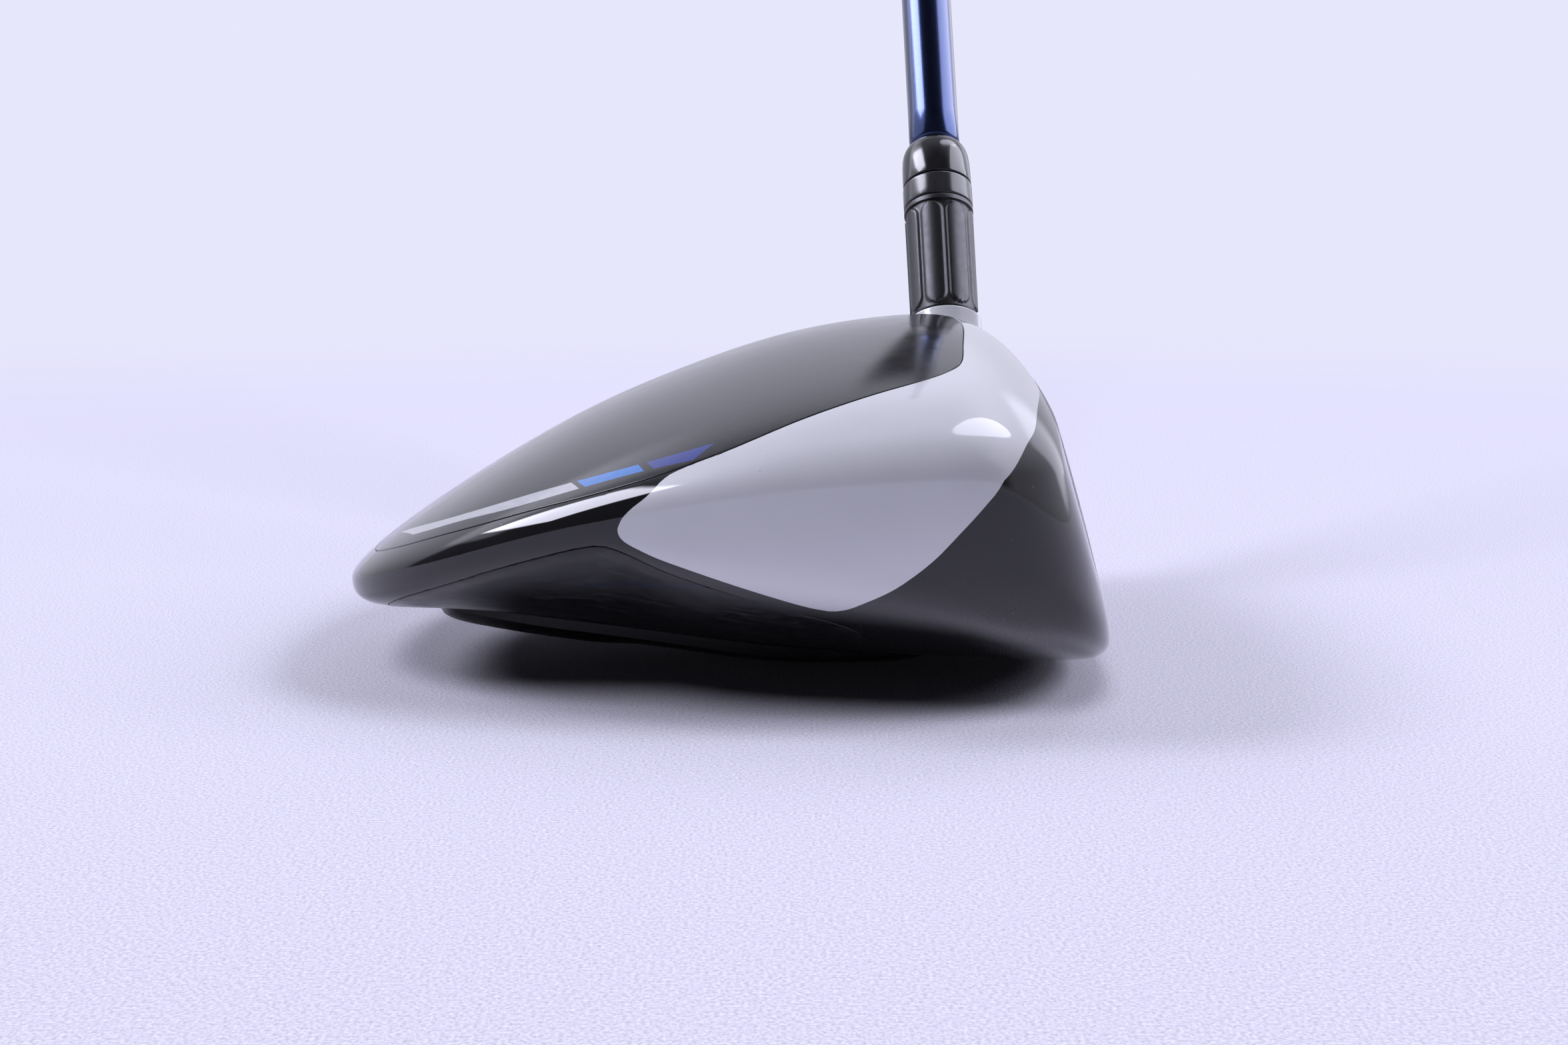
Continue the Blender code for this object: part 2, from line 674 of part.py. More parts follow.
def build_head():
    skin = Skin(GRID, {"crown": crown_field, "toe": toe_sole_field, "heel": heel_sole_field,
                       "face": face_field, "rim": rim_field})
    for name in ("crown", "toe", "heel"):
        skin.cut(name, 0.0)
        skin.cut(name, -LEDGE_W)
    skin.cut("face", 0.0)
    skin.cut("rim", 0.0)
    level = {k: skin.level(k) for k in skin.field}
    solid, ledge = level["rim"] < 0, np.zeros(len(skin.t), bool)
    for k in ("crown", "toe", "heel", "face"):
        solid &= level[k] > 0
    for k in ("crown", "toe", "heel"):
        ledge |= (level[k] < 0) & (level[k] > -LEDGE_W)
    frame = body(skin, solid, ledge, WHITE)
    combine(frame, hosel_tube(), "UNION")
    combine(frame, weight_boss(), "UNION")
    combine(frame, hosel_bore(), "DIFFERENCE")
    combine(frame, weight_hole(), "DIFFERENCE")
    combine(frame, slot_tool(), "DIFFERENCE")
    panel(skin, "crown_panel", level["crown"] < 0, CROWN_T, CARBON)
    panel(skin, "sole_panel_toe", level["toe"] < 0, SOLE_T, SOLE_CARBON)
    panel(skin, "sole_panel_heel", level["heel"] < 0, SOLE_T, SOLE_CARBON)
    panel(skin, "face_plate", level["face"] < 0, FACE_T, FACE_GREY)
    build_slot()


keel_half, keel_low = cubic(KEEL_HALF), cubic(KEEL_LOW)
_e = 0.5
WEIGHT_AXIS = unit([(keel_low(WEIGHT_X + _e) - keel_low(WEIGHT_X - _e)) / (2 * _e), 0, -1])
WEIGHT_FACE = np.array([WEIGHT_X, KEEL_Y, float(keel_low(WEIGHT_X))])


def keel_underside(x, v):
    """Height at X and at v across, -1 to 1: flat in the middle, round at the sides."""
    low = max(float(keel_low(x)), 0.0)
    flat = 0.72 - 0.3 * float(ease((abs(x - WEIGHT_X) - 9.0) / 10.0))
    return low + 2.2 * max(abs(v) - flat, 0) ** 2 / (1 - flat) ** 2


def build_keel():
    xs = [-62, -61, -59.4, -56.5, -53, -49, -45.5, -41, -36, -28, -20, -9, -2, 6, 14, 17, 19.5, 21]
    vs = [-1, -0.86, -0.72, -0.42, 0, 0.42, 0.72, 0.86, 1]
    points, faces = [], []
    for x in xs:
        for v in vs:
            y = KEEL_Y + v * float(keel_half(x))
            points.append((x, y, min(keel_underside(float(x), v), sole_height(x, y) - 0.9)))
        for v in vs:
            y = KEEL_Y + v * float(keel_half(x))
            points.append((x, y, float(sole_height(x, y)) - 0.45))
    k, n = len(vs), len(xs)
    for i in range(n - 1):
        a, b = i * 2 * k, (i + 1) * 2 * k
        for j in range(k - 1):
            faces.append((a + j, b + j, b + j + 1, a + j + 1))
            faces.append((a + k + j, a + k + j + 1, b + k + j + 1, b + k + j))
        faces.append((a, a + k, b + k, b))
        faces.append((a + k - 1, b + k - 1, b + 2 * k - 1, a + 2 * k - 1))
    for i, back in ((0, False), (n - 1, True)):
        a = i * 2 * k
        for j in range(k - 1):
            quad = (a + j, a + j + 1, a + k + j + 1, a + k + j)
            faces.append(quad[::-1] if back else quad)
    keel = node("sole_keel", points, faces, DARK)
    combine(keel, turned("weight_pocket_tool", [(-20, WEIGHT_R + 0.35), (6, WEIGHT_R + 0.35)],
                         on_weight, WEIGHT_AXIS, None, 24, "cap"), "DIFFERENCE")


def on_weight(t):
    """Points on the weight's axis; positive is out of the sole."""
    return WEIGHT_FACE + t * WEIGHT_AXIS


def weight_boss():
    return turned("weight_boss_tool", [(-6.0, 5.0), (-14.0, 5.0)], on_weight, WEIGHT_AXIS, None, 24, "cap")


def weight_hole():
    return turned("weight_hole_tool", [(5.0, 2.85), (-12.6, 2.85)], on_weight, WEIGHT_AXIS, None, 24, "cap")


def socket(name, place, axis, r, top, bottom):
    """Six-lobed key recess."""
    return turned(name, [(top, r, r * 0.74), (bottom, r, r * 0.74)], place, axis, None, 12, "cap")


def build_weight():
    back = -3.0
    turned("rear_weight", [(-0.35, 4.6), (-0.3, WEIGHT_R - 0.5), (-0.8, WEIGHT_R), (back, WEIGHT_R),
                           (back, 2.85), (-2.3, 2.85), (-2.3, 4.6)],
           on_weight, WEIGHT_AXIS, STEEL, 24)
    screw = turned("weight_screw", [(-0.5, 3.9), (-0.25, 3.6), (-0.25, 2.4), (-0.25, 0.02)][::-1]
                   + [(-0.5, 4.2), (-2.0, 4.2), (-2.0, 2.4), (-11.6, 2.4), (-12.1, 1.9), (-12.1, 0.02)],
                   on_weight, WEIGHT_AXIS, STEEL, 18, "cap", WEIGHT_FACE)
    combine(screw, socket("weight_key_tool", on_weight, WEIGHT_AXIS, 1.9, 1.0, -1.4), "DIFFERENCE")


def build_hosel_bolt():
    bolt = turned("hosel_bolt", [(-17.2, 0.02), (-17.2, 2.0), (-17.8, 2.4), (-32.7, 2.4), (-32.7, 4.1),
                                 (-37.4, 4.1), (-37.9, 3.6), (-37.9, 0.02)],
                  on_hosel, HOSEL_AXIS, STEEL, 18, "cap")
    combine(bolt, socket("bolt_key_tool", on_hosel, HOSEL_AXIS, 2.2, -35.0, -40.0), "DIFFERENCE")
    turned("bolt_washer", [(-31.3, 2.8), (-31.3, 4.4), (-32.4, 4.4), (-32.4, 2.8)],
           on_hosel, HOSEL_AXIS, STEEL, 16)
    turned("bolt_keeper", [(-27.0, 2.75), (-27.0, 4.9), (-27.7, 4.9), (-27.7, 2.75)],
           on_hosel, HOSEL_AXIS, PALE, 16)


def build_sleeve():
    sleeve = turned("loft_sleeve", [(-26.6, 0.02), (-26.6, 4.8), (-26.0, 5.3), (SPLINE_T + 0.4, 5.3),
                                    (SPLINE_T + 0.8, 5.9, 5.35), (-0.9, 5.9, 5.35), (-0.7, 5.3),
                                    (0.35, 5.3), (0.35, 6.4), (1.1, 6.6), (1.9, 6.6, 6.1, 3),
                                    (22.7, 6.75, 6.25, 3), (23.7, 6.75), (25.05, 6.75), (25.05, 0.02)],
                    on_hosel, HOSEL_AXIS, GUNMETAL, 24, "cap")
    combine(sleeve, turned("shaft_bore_tool", [(-19.0, SHAFT_TIP_R + 0.3), (40.0, SHAFT_TIP_R + 0.3)],
                           on_shaft, SHAFT_AXIS, None, 24, "cap"), "DIFFERENCE")
    combine(sleeve, turned("thread_tool", [(-30.0, 2.75), (-15.6, 2.75)],
                           on_hosel, HOSEL_AXIS, None, 24, "cap"), "DIFFERENCE")

    def swap(t):
        """Ring centres that pass from the hosel's line to the shaft's."""
        w = float(ease((t - 30.2) / 9.0))
        on_line = on_shaft((t - 6.0) * math.cos(SLEEVE_CANT))
        return on_hosel(t) * (1 - w) + on_line * w

    def sheath(name, outline, bore, look, s0, s1):
        rings = [ring(swap(t), HOSEL_AXIS, r, 24) for t, r in outline]
        rings += [ring(on_shaft(s), SHAFT_AXIS, bore, 24) for s in (s1, s0)]
        points, faces = stack(rings, "loop")
        node(name, points, faces, look, swap(outline[0][0]))

    sheath("ferrule_ring", [(25.4, 6.5), (25.65, 6.75), (29.9, 6.75), (30.2, 6.55)],
           SHAFT_TIP_R + 0.35, PLASTIC, 19.4, 24.2)
    sheath("ferrule", [(30.55, 6.5), (30.8, 6.75), (36.4, 6.62), (38.1, 6.3), (39.2, 5.85), (39.9, 5.35)],
           SHAFT_TIP_R + 0.32, PLASTIC, 24.55, 33.9)


def shaft_r(s):
    """Outside radius of the shaft: a slim tip for the sleeve, then a step just above the ferrule."""
    tip = SHAFT_TIP_R + 0.1 * min(max(s - 20.0, 0.0) / 14.3, 1.0)
    if s <= 34.3:
        return tip
    if s <= 35.1:
        return tip + (SHAFT_LOW_R - tip) * (s - 34.3) / 0.8
    return SHAFT_LOW_R + (SHAFT_BUTT_R - SHAFT_LOW_R) * (s - 35.1) / (BUTT_S - 41.6)


def build_shaft():
    end = BUTT_S - 6.5
    stops = [-17.5, 20.0, 34.3, 35.1, 400.0, 760.0, end]
    profile = [(s, shaft_r(s)) for s in stops]
    profile += [(s, shaft_r(s) - SHAFT_WALL) for s in stops[::-1]]
    turned("shaft", profile, on_shaft, SHAFT_AXIS, BLUE, 24)
    bore = SHAFT_TIP_R - SHAFT_WALL
    turned("tip_plug", [(-16.5, 0.02), (-16.5, bore - 0.3), (-6.0, bore - 0.3), (-6.0, 0.02)],
           on_shaft, SHAFT_AXIS, PALE, 16, "cap")


def build_grip():
    top = BUTT_S - 5.4
    low = top - GRIP_LENGTH
    gap = 0.3
    tape = [low + 4.0, top - 3.0]
    turned("grip_tape", [(s, shaft_r(s) + gap + 0.4) for s in tape]
           + [(s, shaft_r(s) + gap) for s in tape[::-1]], on_shaft, SHAFT_AXIS, PALE, 16)
    bore = shaft_r(top) + 2 * gap + 0.45
    outline = [(low, 8.9), (low + 2.0, 9.25), (low + 60, 9.75), (low + 150, 10.9), (top - 50, 12.5),
               (top - 12, 13.5), (top - 3, 14.3), (top, 14.5)]
    start = shaft_r(low) + 2 * gap + 0.45
    turned("grip", outline + [(top, bore), (low, start)], on_shaft, SHAFT_AXIS, RUBBER, 24)
    stem = SHAFT_BUTT_R - SHAFT_WALL - 0.4
    turned("grip_cap", [(top + 0.35, 14.5), (top + 3.6, 14.5), (top + 5.0, 13.4), (BUTT_S, 12.6),
                        (BUTT_S, 1.6), (top - 9.0, 1.6), (top - 9.0, stem - 0.5), (top - 8.0, stem),
                        (top + 0.35, stem)], on_shaft, SHAFT_AXIS, RUBBER, 24)


clear_scene()
build_head()
build_keel()
build_weight()
build_hosel_bolt()
build_sleeve()
build_shaft()
build_grip()
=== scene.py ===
"""Golf driver: the visible pieces, their materials, the studio and the camera.

The head's skin is the same surface as in the CAD model at a finer pitch, cut along
the joints and the paint lines.  Lengths are millimetres until a mesh is made.
X points out of the face, Y from the toe to the heel, Z up.
"""

import math

import bpy
import numpy as np
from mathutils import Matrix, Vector


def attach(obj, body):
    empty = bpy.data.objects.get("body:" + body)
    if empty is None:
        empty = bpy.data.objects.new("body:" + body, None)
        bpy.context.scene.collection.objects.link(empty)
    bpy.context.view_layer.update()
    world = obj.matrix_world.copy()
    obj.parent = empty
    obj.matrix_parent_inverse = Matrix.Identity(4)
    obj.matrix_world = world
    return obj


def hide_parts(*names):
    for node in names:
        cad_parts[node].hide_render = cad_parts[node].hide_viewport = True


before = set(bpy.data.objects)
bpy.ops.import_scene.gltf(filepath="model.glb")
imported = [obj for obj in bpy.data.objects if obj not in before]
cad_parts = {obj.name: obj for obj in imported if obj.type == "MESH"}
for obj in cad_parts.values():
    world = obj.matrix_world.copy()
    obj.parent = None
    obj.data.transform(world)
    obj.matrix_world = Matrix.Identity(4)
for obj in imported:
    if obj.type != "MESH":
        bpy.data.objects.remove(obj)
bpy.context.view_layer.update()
MM = 0.001

# ---------------------------------------------------------------- dimensions
PITCH = 1.7                # skin facet before it is refined
REAR_X = -73.2
FACE_X, FACE_Z = 41.2, 26.0
LOFT = math.radians(15.2)
BULGE = ROLL = 300.0
MID_Y = -2.0
CROWN_POWER, SOLE_POWER = 2.05, 2.15
LIE, SLEEVE_CANT, LEAN = math.radians(57.0), math.radians(1.0), -0.015
HOSEL_R = 7.0
RIM_T = -0.35              # where the painted neck passes into the turned rim
SPLINE_T = -9.8
BOLT_WELL_R = 4.8
KEEL_Y = 3.0
WEIGHT_X, WEIGHT_R = -45.5, 8.6
CLUB_LENGTH = 1162.0
SHAFT_TIP_R, SHAFT_LOW_R, SHAFT_BUTT_R = 4.35, 5.0, 7.6
GRIP_LENGTH = 266.0

TOP = [(-73.2, 16.0), (-70, 20.0), (-63, 25.2), (-50, 33.5), (-35, 41.7), (-20, 48.0),
       (-5, 52.9), (10, 55.6), (22, 56.0), (34, 54.0), (48, 49.5), (64, 41.0)]
BOTTOM = [(-73.2, 16.0), (-70, 11.6), (-63, 10.5), (-50, 9.05), (-35, 7.0), (-20, 5.1),
          (-5, 3.4), (10, 2.5), (22, 2.0), (34, 1.9), (48, 3.0), (64, 7.0)]
TOE = [(-73.2, -2.0), (-70, -24.0), (-63, -37.0), (-50, -49.2), (-35, -57.0), (-20, -61.6),
       (-5, -64.6), (10, -66.0), (22, -65.6), (34, -63.0), (48, -57.0), (64, -45.0)]
HEEL = [(-73.2, -2.0), (-70, 19.0), (-63, 31.0), (-50, 42.0), (-35, 49.5), (-20, 54.0),
        (-5, 57.0), (10, 58.6), (22, 58.8), (34, 57.0), (48, 52.0), (64, 42.0)]
WAIST_TOE = [(-73.2, 16.0), (-63, 20.4), (-50, 25.2), (-35, 30.0), (-20, 33.6), (-5, 36.2),
             (10, 37.6), (22, 38.0), (34, 37.4), (48, 35.0), (64, 30.0)]
WAIST_HEEL = [(-73.2, 16.0), (-63, 19.0), (-50, 22.5), (-35, 26.0), (-20, 28.6), (-5, 30.4),
              (10, 31.4), (22, 31.6), (34, 31.0), (48, 29.5), (64, 26.0)]

# Lines on the skin: X in mm, and degrees round the section
# (0 is the waist, 90 the crown, -90 the sole).
CROWN_EDGE = [(22.3, 90), (22.1, 76), (20.6, 60), (19.4, 49), (17.0, 43.9), (13.2, 40.3),
              (6.0, 35.8), (-2.9, 29.9), (-11.6, 23.4), (-18.0, 20.0), (-23.9, 17.8),
              (-32.0, 17.2), (-42.6, 19.7), (-48.8, 22.2), (-55.6, 26.9), (-60.7, 32.2),
              (-65.6, 42.8), (-68.2, 58), (-69.4, 90), (-68.2, 122), (-65.6, 137),
              (-60.0, 148), (-50.0, 157), (-38.0, 161), (-24.0, 162), (-10.0, 158),
              (0.0, 151), (8.0, 143), (14.5, 133), (18.8, 121), (21.6, 106)]
SOLE_EDGE = [(-61.6, -26.3), (-57.6, -19.6), (-48.5, -12.6), (-42.4, -9.7), (-33.8, -7.4),
             (-29.2, -7.6), (-26.0, -11.0), (-20.4, -18.6), (-11.7, -27.2), (-2.9, -35.4),
             (2.2, -40.5), (5.6, -46.5), (7.0, -54.0), (5.4, -63.0), (0.0, -69.5),
             (-12.0, -72.0), (-30.0, -71.0), (-46.0, -66.0), (-56.0, -58.0), (-62.0, -47.0),
             (-63.6, -36.0)]
FACE_EDGE = [(-46, 34), (-40, 42), (-26, 46.5), (-6, 47.6), (14, 46.8), (30, 43.2), (37, 36),
             (37, 26), (31, 16.5), (18, 11.6), (0, 10.2), (-18, 11.4), (-34, 16), (-43, 24)]
WHITE_TOE = [(-16.4, 21.0), (-20.3, 17.1), (-22.9, 9.5), (-25.1, 4.3), (-26.5, -1.0),
             (-26.8, -3.4), (-26.1, -6.5), (-23.9, -10.1), (-20.4, -14.4), (-11.7, -22.7),
             (-2.9, -30.3), (-0.2, -32.0), (1.4, -32.5), (3.3, -31.5), (5.9, -28.2),
             (10.1, -23.1), (14.3, -16.9), (17.5, -11.0), (20.9, -4.8), (22.6, -1.5),
             (24.4, 4.1), (26.6, 14.1), (28.3, 20.9), (29.7, 31.6), (31.6, 45), (33.2, 62),
             (34.2, 80), (34.6, 96), (14, 96), (14, 62), (11, 52), (3, 44), (-5, 37), (-11, 30)]
WHITE_HEEL = [(-16.0, 22.5), (-20.3, 17.1), (-22.9, 9.5), (-25.1, 4.3), (-26.5, -1.0),
              (-26.8, -3.4), (-26.1, -6.5), (-23.9, -10.1), (-20.4, -14.4), (-11.7, -22.7),
              (-2.9, -30.3), (-0.2, -32.0), (1.4, -32.5), (3.3, -31.5), (6.5, -28.2),
              (12.0, -21.5), (17.5, -14.5), (22.5, -7.0), (27.5, 2.0), (32, 12), (36, 24),
              (38, 40), (37.5, 55), (36, 75), (34.6, 96), (14, 96), (14, 62), (11, 52),
              (3, 44), (-5, 37), (-11, 30)]
STRIPE_UP = [(-66, 62), (-63.2, 55.9), (-55.8, 42.0), (-49.7, 35.2), (-44.3, 31.5), (-39.2, 29.3),
             (-33.7, 27.6), (-24.4, 26.5), (-19.0, 26.8), (-13.5, 27.6)]
STRIPE_LOW = [(-66, 53), (-59.0, 39.6), (-49.3, 29.9), (-43.9, 25.7), (-38.9, 23.7), (-32.0, 22.7),
              (-23.0, 22.5), (-16.9, 22.0), (-13.0, 22.0)]
# Ends of the stripe's three fields: (X, degrees) at the upper and the lower edge.
STRIPE_ENDS = [((-63.2, 55.9), (-59.0, 39.6)), ((-33.7, 27.6), (-32.4, 22.8)),
               ((-32.9, 27.4), (-31.5, 22.5)), ((-24.4, 26.5), (-23.5, 22.6)),
               ((-23.2, 26.4), (-22.2, 22.5)), ((-14.2, 27.5), (-16.9, 22.0))]
ACCENT = [(-36, -31.4), (-32.8, -30.2), (-27.6, -28.0), (-21.7, -25.6), (-16.5, -23.5), (-12, -21.6)]
SLOT_X, SLOT_Y, SLOT_HALF = 33.0, (-30.0, 14.0), 2.2
# Edge between the side of the head and the toe side of the sole: X, Y, height.
SOLE_TURN = [(-73.2, -20.0, 12.6), (-70, -26.0, 13.0), (-62, -36.5, 15.4), (-55, -44.5, 19.6), (-48.5, -50.5, 23.0),
             (-40.5, -54.8, 25.8), (-33.8, -57.2, 27.4), (-29, -58.7, 28.0), (-24, -59.4, 26.6), (-19.6, -59.2, 24.8),
             (-10, -59.4, 22.6), (0, -59.4, 21.0), (10, -58.6, 19.4), (15, -57.0, 18.0), (20.6, -54.5, 16.0),
             (24, -50.5, 13.6), (30, -45.5, 10.8), (36.5, -39.5, 8.5), (48, -30.0, 6.0), (64, -20.0, 5.0)]
KEEL_HALF = [(-62, 3.0), (-60, 7.4), (-56, 10.2), (-45.5, 12.3), (-36, 12.6), (-20, 13.2),
             (0, 14.0), (10, 13.0), (17, 9.0), (21, 3.0)]
KEEL_LOW = [(-62, 7.4), (-45.5, 5.1), (-34, 3.6), (-21, 1.9), (-9, 0.4), (-2, 0.0), (14, 0.0), (21, 0.7)]


# ------------------------------------------------------------- small helpers
def unit(v):
    v = np.asarray(v, float)
    return v / np.linalg.norm(v)


def units(v):
    return v / np.maximum(np.linalg.norm(v, axis=-1, keepdims=True), 1e-9)


def cubic(points):
    """Natural cubic through (x, y) points."""
    xs = np.array([p[0] for p in points], float)
    ys = np.array([p[1] for p in points], float)
    n, h = len(xs), np.diff(xs)
    a, b = np.zeros((n, n)), np.zeros(n)
    a[0, 0] = a[-1, -1] = 1
    for i in range(1, n - 1):
        a[i, i - 1:i + 2] = h[i - 1], 2 * (h[i - 1] + h[i]), h[i]
        b[i] = 6 * ((ys[i + 1] - ys[i]) / h[i] - (ys[i] - ys[i - 1]) / h[i - 1])
    m = np.linalg.solve(a, b)

    def value(x):
        x = np.clip(x, xs[0], xs[-1])
        i = np.clip(np.searchsorted(xs, x) - 1, 0, n - 2)
        d, e, w = x - xs[i], xs[i + 1] - x, h[i]
        return ((m[i] * e ** 3 + m[i + 1] * d ** 3) / (6 * w)
                + (ys[i] / w - m[i] * w / 6) * e + (ys[i + 1] / w - m[i + 1] * w / 6) * d)
    return value


def rounded(points):
    """A profile that starts round at the rear tip, so it is a curve of the root of X."""
    curve = cubic([(math.sqrt(x - REAR_X), y) for x, y in points])
    return lambda x: curve(np.sqrt(np.maximum(x - REAR_X, 0)))


def smooth_max(a, b, k):
    h = np.maximum(k - np.abs(a - b), 0) / k
    return np.maximum(a, b) + h * h * k / 4


def smooth_min(a, b, k):
    return -smooth_max(-a, -b, k)


def ease(t):
    t = np.clip(t, 0, 1)
    return t * t * (3 - 2 * t)


def slope(f, p, e=0.02):
    g = np.empty_like(p)
    for i in range(3):
        d = np.zeros(3)
        d[i] = e
        g[..., i] = (f(p + d) - f(p - d)) / (2 * e)
    return g


# ------------------------------------------------------------- head: surface
z_top, z_bottom = rounded(TOP), rounded(BOTTOM)
y_toe, y_heel = rounded(TOE), rounded(HEEL)
waist_toe, waist_heel = cubic(WAIST_TOE), cubic(WAIST_HEEL)
turn_y, turn_z = cubic([(x, y) for x, y, z in SOLE_TURN]), cubic([(x, z) for x, y, z in SOLE_TURN])
HOSEL_AXIS = unit([LEAN, math.cos(LIE + SLEEVE_CANT), math.sin(LIE + SLEEVE_CANT)])
SHAFT_AXIS = unit([LEAN, math.cos(LIE), math.sin(LIE)])
RIM = np.array((25.76, 58.04, 51.86))
PIVOT = RIM + 6.0 * HOSEL_AXIS
BUTT_S = CLUB_LENGTH - PIVOT[2] / math.sin(LIE)


def section(p):
    """Where a point lies in its cross section: sideways and up, each 1 at the skin."""
    x, y, z = np.maximum(p[..., 0], REAR_X + 1e-3), p[..., 1], p[..., 2]
    side = y - MID_Y
    half = np.where(side < 0, MID_Y - y_toe(x), y_heel(x) - MID_Y)
    t = ease(0.5 + side / 80.0)
    waist = waist_toe(x) * (1 - t) + waist_heel(x) * t
    tall = np.where(z > waist, z_top(x) - waist, waist - z_bottom(x))
    return side / np.maximum(half, 0.05), (z - waist) / np.maximum(tall, 0.05)


def shell_raw(p):
    u, v = section(p)
    power = np.where(v > 0, CROWN_POWER, SOLE_POWER)
    r = (np.abs(u) ** power + np.abs(v) ** power + 1e-12) ** (1 / power) - 1
    return r + np.maximum(REAR_X + 0.01 - p[..., 0], 0)


def shell(p):
    return shell_raw(p) / np.maximum(np.linalg.norm(slope(shell_raw, p), axis=-1), 0.004)


def face_side(p):
    x, y, z = p[..., 0], p[..., 1], p[..., 2]
    at = (FACE_X - (z - FACE_Z) * math.tan(LOFT) - (y - 2) ** 2 / (2 * BULGE)
          - (z - FACE_Z) ** 2 / (2 * ROLL))
    return (x - at) * math.cos(LOFT)


def along_hosel(p):
    q = p - RIM
    t = q @ HOSEL_AXIS
    return t, np.linalg.norm(q - t[..., None] * HOSEL_AXIS, axis=-1)


def sole_side(p):
    """How far a point is below the toe side of the sole, which runs nearly flat from the keel to its edge."""
    x, y, z = np.maximum(p[..., 0], REAR_X), p[..., 1], p[..., 2]
    foot = z_bottom(x) - 0.3
    way = (-10.0 - y) / (-10.0 - turn_y(x))
    return 0.9 * (foot + (turn_z(x) - foot) * (0.7 * way + 0.3 * np.maximum(way, 0) ** 2) - z)


def head(p):
    """Below zero inside the head, above zero outside."""
    edge = 5.0 + 8.0 * ease((p[..., 2] - 6) / 30.0)
    body = smooth_max(smooth_max(shell(p), face_side(p), edge), sole_side(p), 3.0)
    t, r = along_hosel(p)
    neck = np.maximum(r - HOSEL_R - 0.06 * np.maximum(-t - 3, 0), -t - 34.0)
    return smooth_min(body, neck, 9.0)


def outward(p):
    return units(slope(head, p))


def settle(p, steps=4):
    for _ in range(steps):
        p = p.copy()
        p[:, 0] = np.maximum(p[:, 0], REAR_X + 0.03)
        g = slope(head, p)
        pull = head(p)[:, None] * g / np.maximum((g * g).sum(-1, keepdims=True), 1e-6)
        p = p - np.clip(pull, -1.5, 1.5)
    return p


def sole_height(x, y):
    """Height of the head's underside at X, Y."""
    x, y = np.broadcast_arrays(np.asarray(x, float), np.asarray(y, float))
    low, high = np.full(x.shape, -4.0), np.full(x.shape, 22.0)
    for _ in range(26):
        mid = (low + high) / 2
        out = head(np.stack([x, y, mid], axis=-1)) > 0
        low, high = np.where(out, mid, low), np.where(out, high, mid)
    return (low + high) / 2


# ------------------------------------------------------------ head: skin mesh
def skin_mesh(size):
    """Triangles over the surface where head() is zero: one point per crossed grid cell."""
    lines = [np.arange(a, b + size, size) for a, b in ((-77, 52), (-72, 77), (-3, 66))]
    counts = [len(line) for line in lines]
    grid = np.stack(np.meshgrid(*lines, indexing="ij"), axis=-1)
    value = head(grid.reshape(-1, 3)).reshape(counts)
    inside = value < 0
    cells = tuple(n - 1 for n in counts)
    total, crossed = np.zeros(cells + (3,)), np.zeros(cells)

    def at(c):
        return tuple(slice(c[i], c[i] + cells[i]) for i in range(3))

    for corner in [(i, j, k) for i in (0, 1) for j in (0, 1) for k in (0, 1)]:
        for axis in range(3):
            if corner[axis]:
                continue
            other = list(corner)
            other[axis] = 1
            a, b = value[at(corner)], value[at(other)]
            hit = (a < 0) != (b < 0)
            t = np.where(hit, a / np.where(hit, a - b, 1), 0)[..., None]
            total += np.where(hit[..., None], grid[at(corner)] * (1 - t) + grid[at(other)] * t, 0)
            crossed += hit
    used = crossed > 0
    index = -np.ones(cells, int)
    index[used] = np.arange(used.sum())
    points = settle(total[used] / crossed[used][:, None])
    quads = []
    for axis in range(3):
        others = [i for i in range(3) if i != axis]
        first, second = [slice(None)] * 3, [slice(None)] * 3
        first[axis], second[axis] = slice(0, counts[axis] - 1), slice(1, counts[axis])
        for i in others:
            first[i] = second[i] = slice(1, counts[i] - 1)
        a, b = inside[tuple(first)], inside[tuple(second)]
        where = np.argwhere(a != b)
        for i in others:
            where[:, i] += 1

        def cell(da, db):
            c = where.copy()
            c[:, others[0]] -= da
            c[:, others[1]] -= db
            return index[tuple(c.T)]
        quads.append(np.stack([cell(1, 1), cell(0, 1), cell(0, 0), cell(1, 0)], axis=1))
    quads = np.concatenate(quads)
    d0 = np.linalg.norm(points[quads[:, 0]] - points[quads[:, 2]], axis=1)
    d1 = np.linalg.norm(points[quads[:, 1]] - points[quads[:, 3]], axis=1)
    short = (d0 < d1)[:, None]
    tris = np.concatenate([np.where(short, quads[:, [0, 1, 2]], quads[:, [0, 1, 3]]),
                           np.where(short, quads[:, [0, 2, 3]], quads[:, [1, 2, 3]])])
    a, b, c = (points[tris[:, i]] for i in range(3))
    way = (np.cross(b - a, c - a) * outward((a + b + c) / 3)).sum(1) < 0
    tris[way] = tris[way][:, ::-1]
    return points, tris


def edges_of(t):
    e = np.sort(np.concatenate([t[:, [0, 1]], t[:, [1, 2]], t[:, [2, 0]]]), axis=1).astype(np.int64)
    keys = np.unique(e[:, 0] * BIG + e[:, 1])
    return np.stack([keys // BIG, keys % BIG], axis=1)


BIG = 10 ** 7


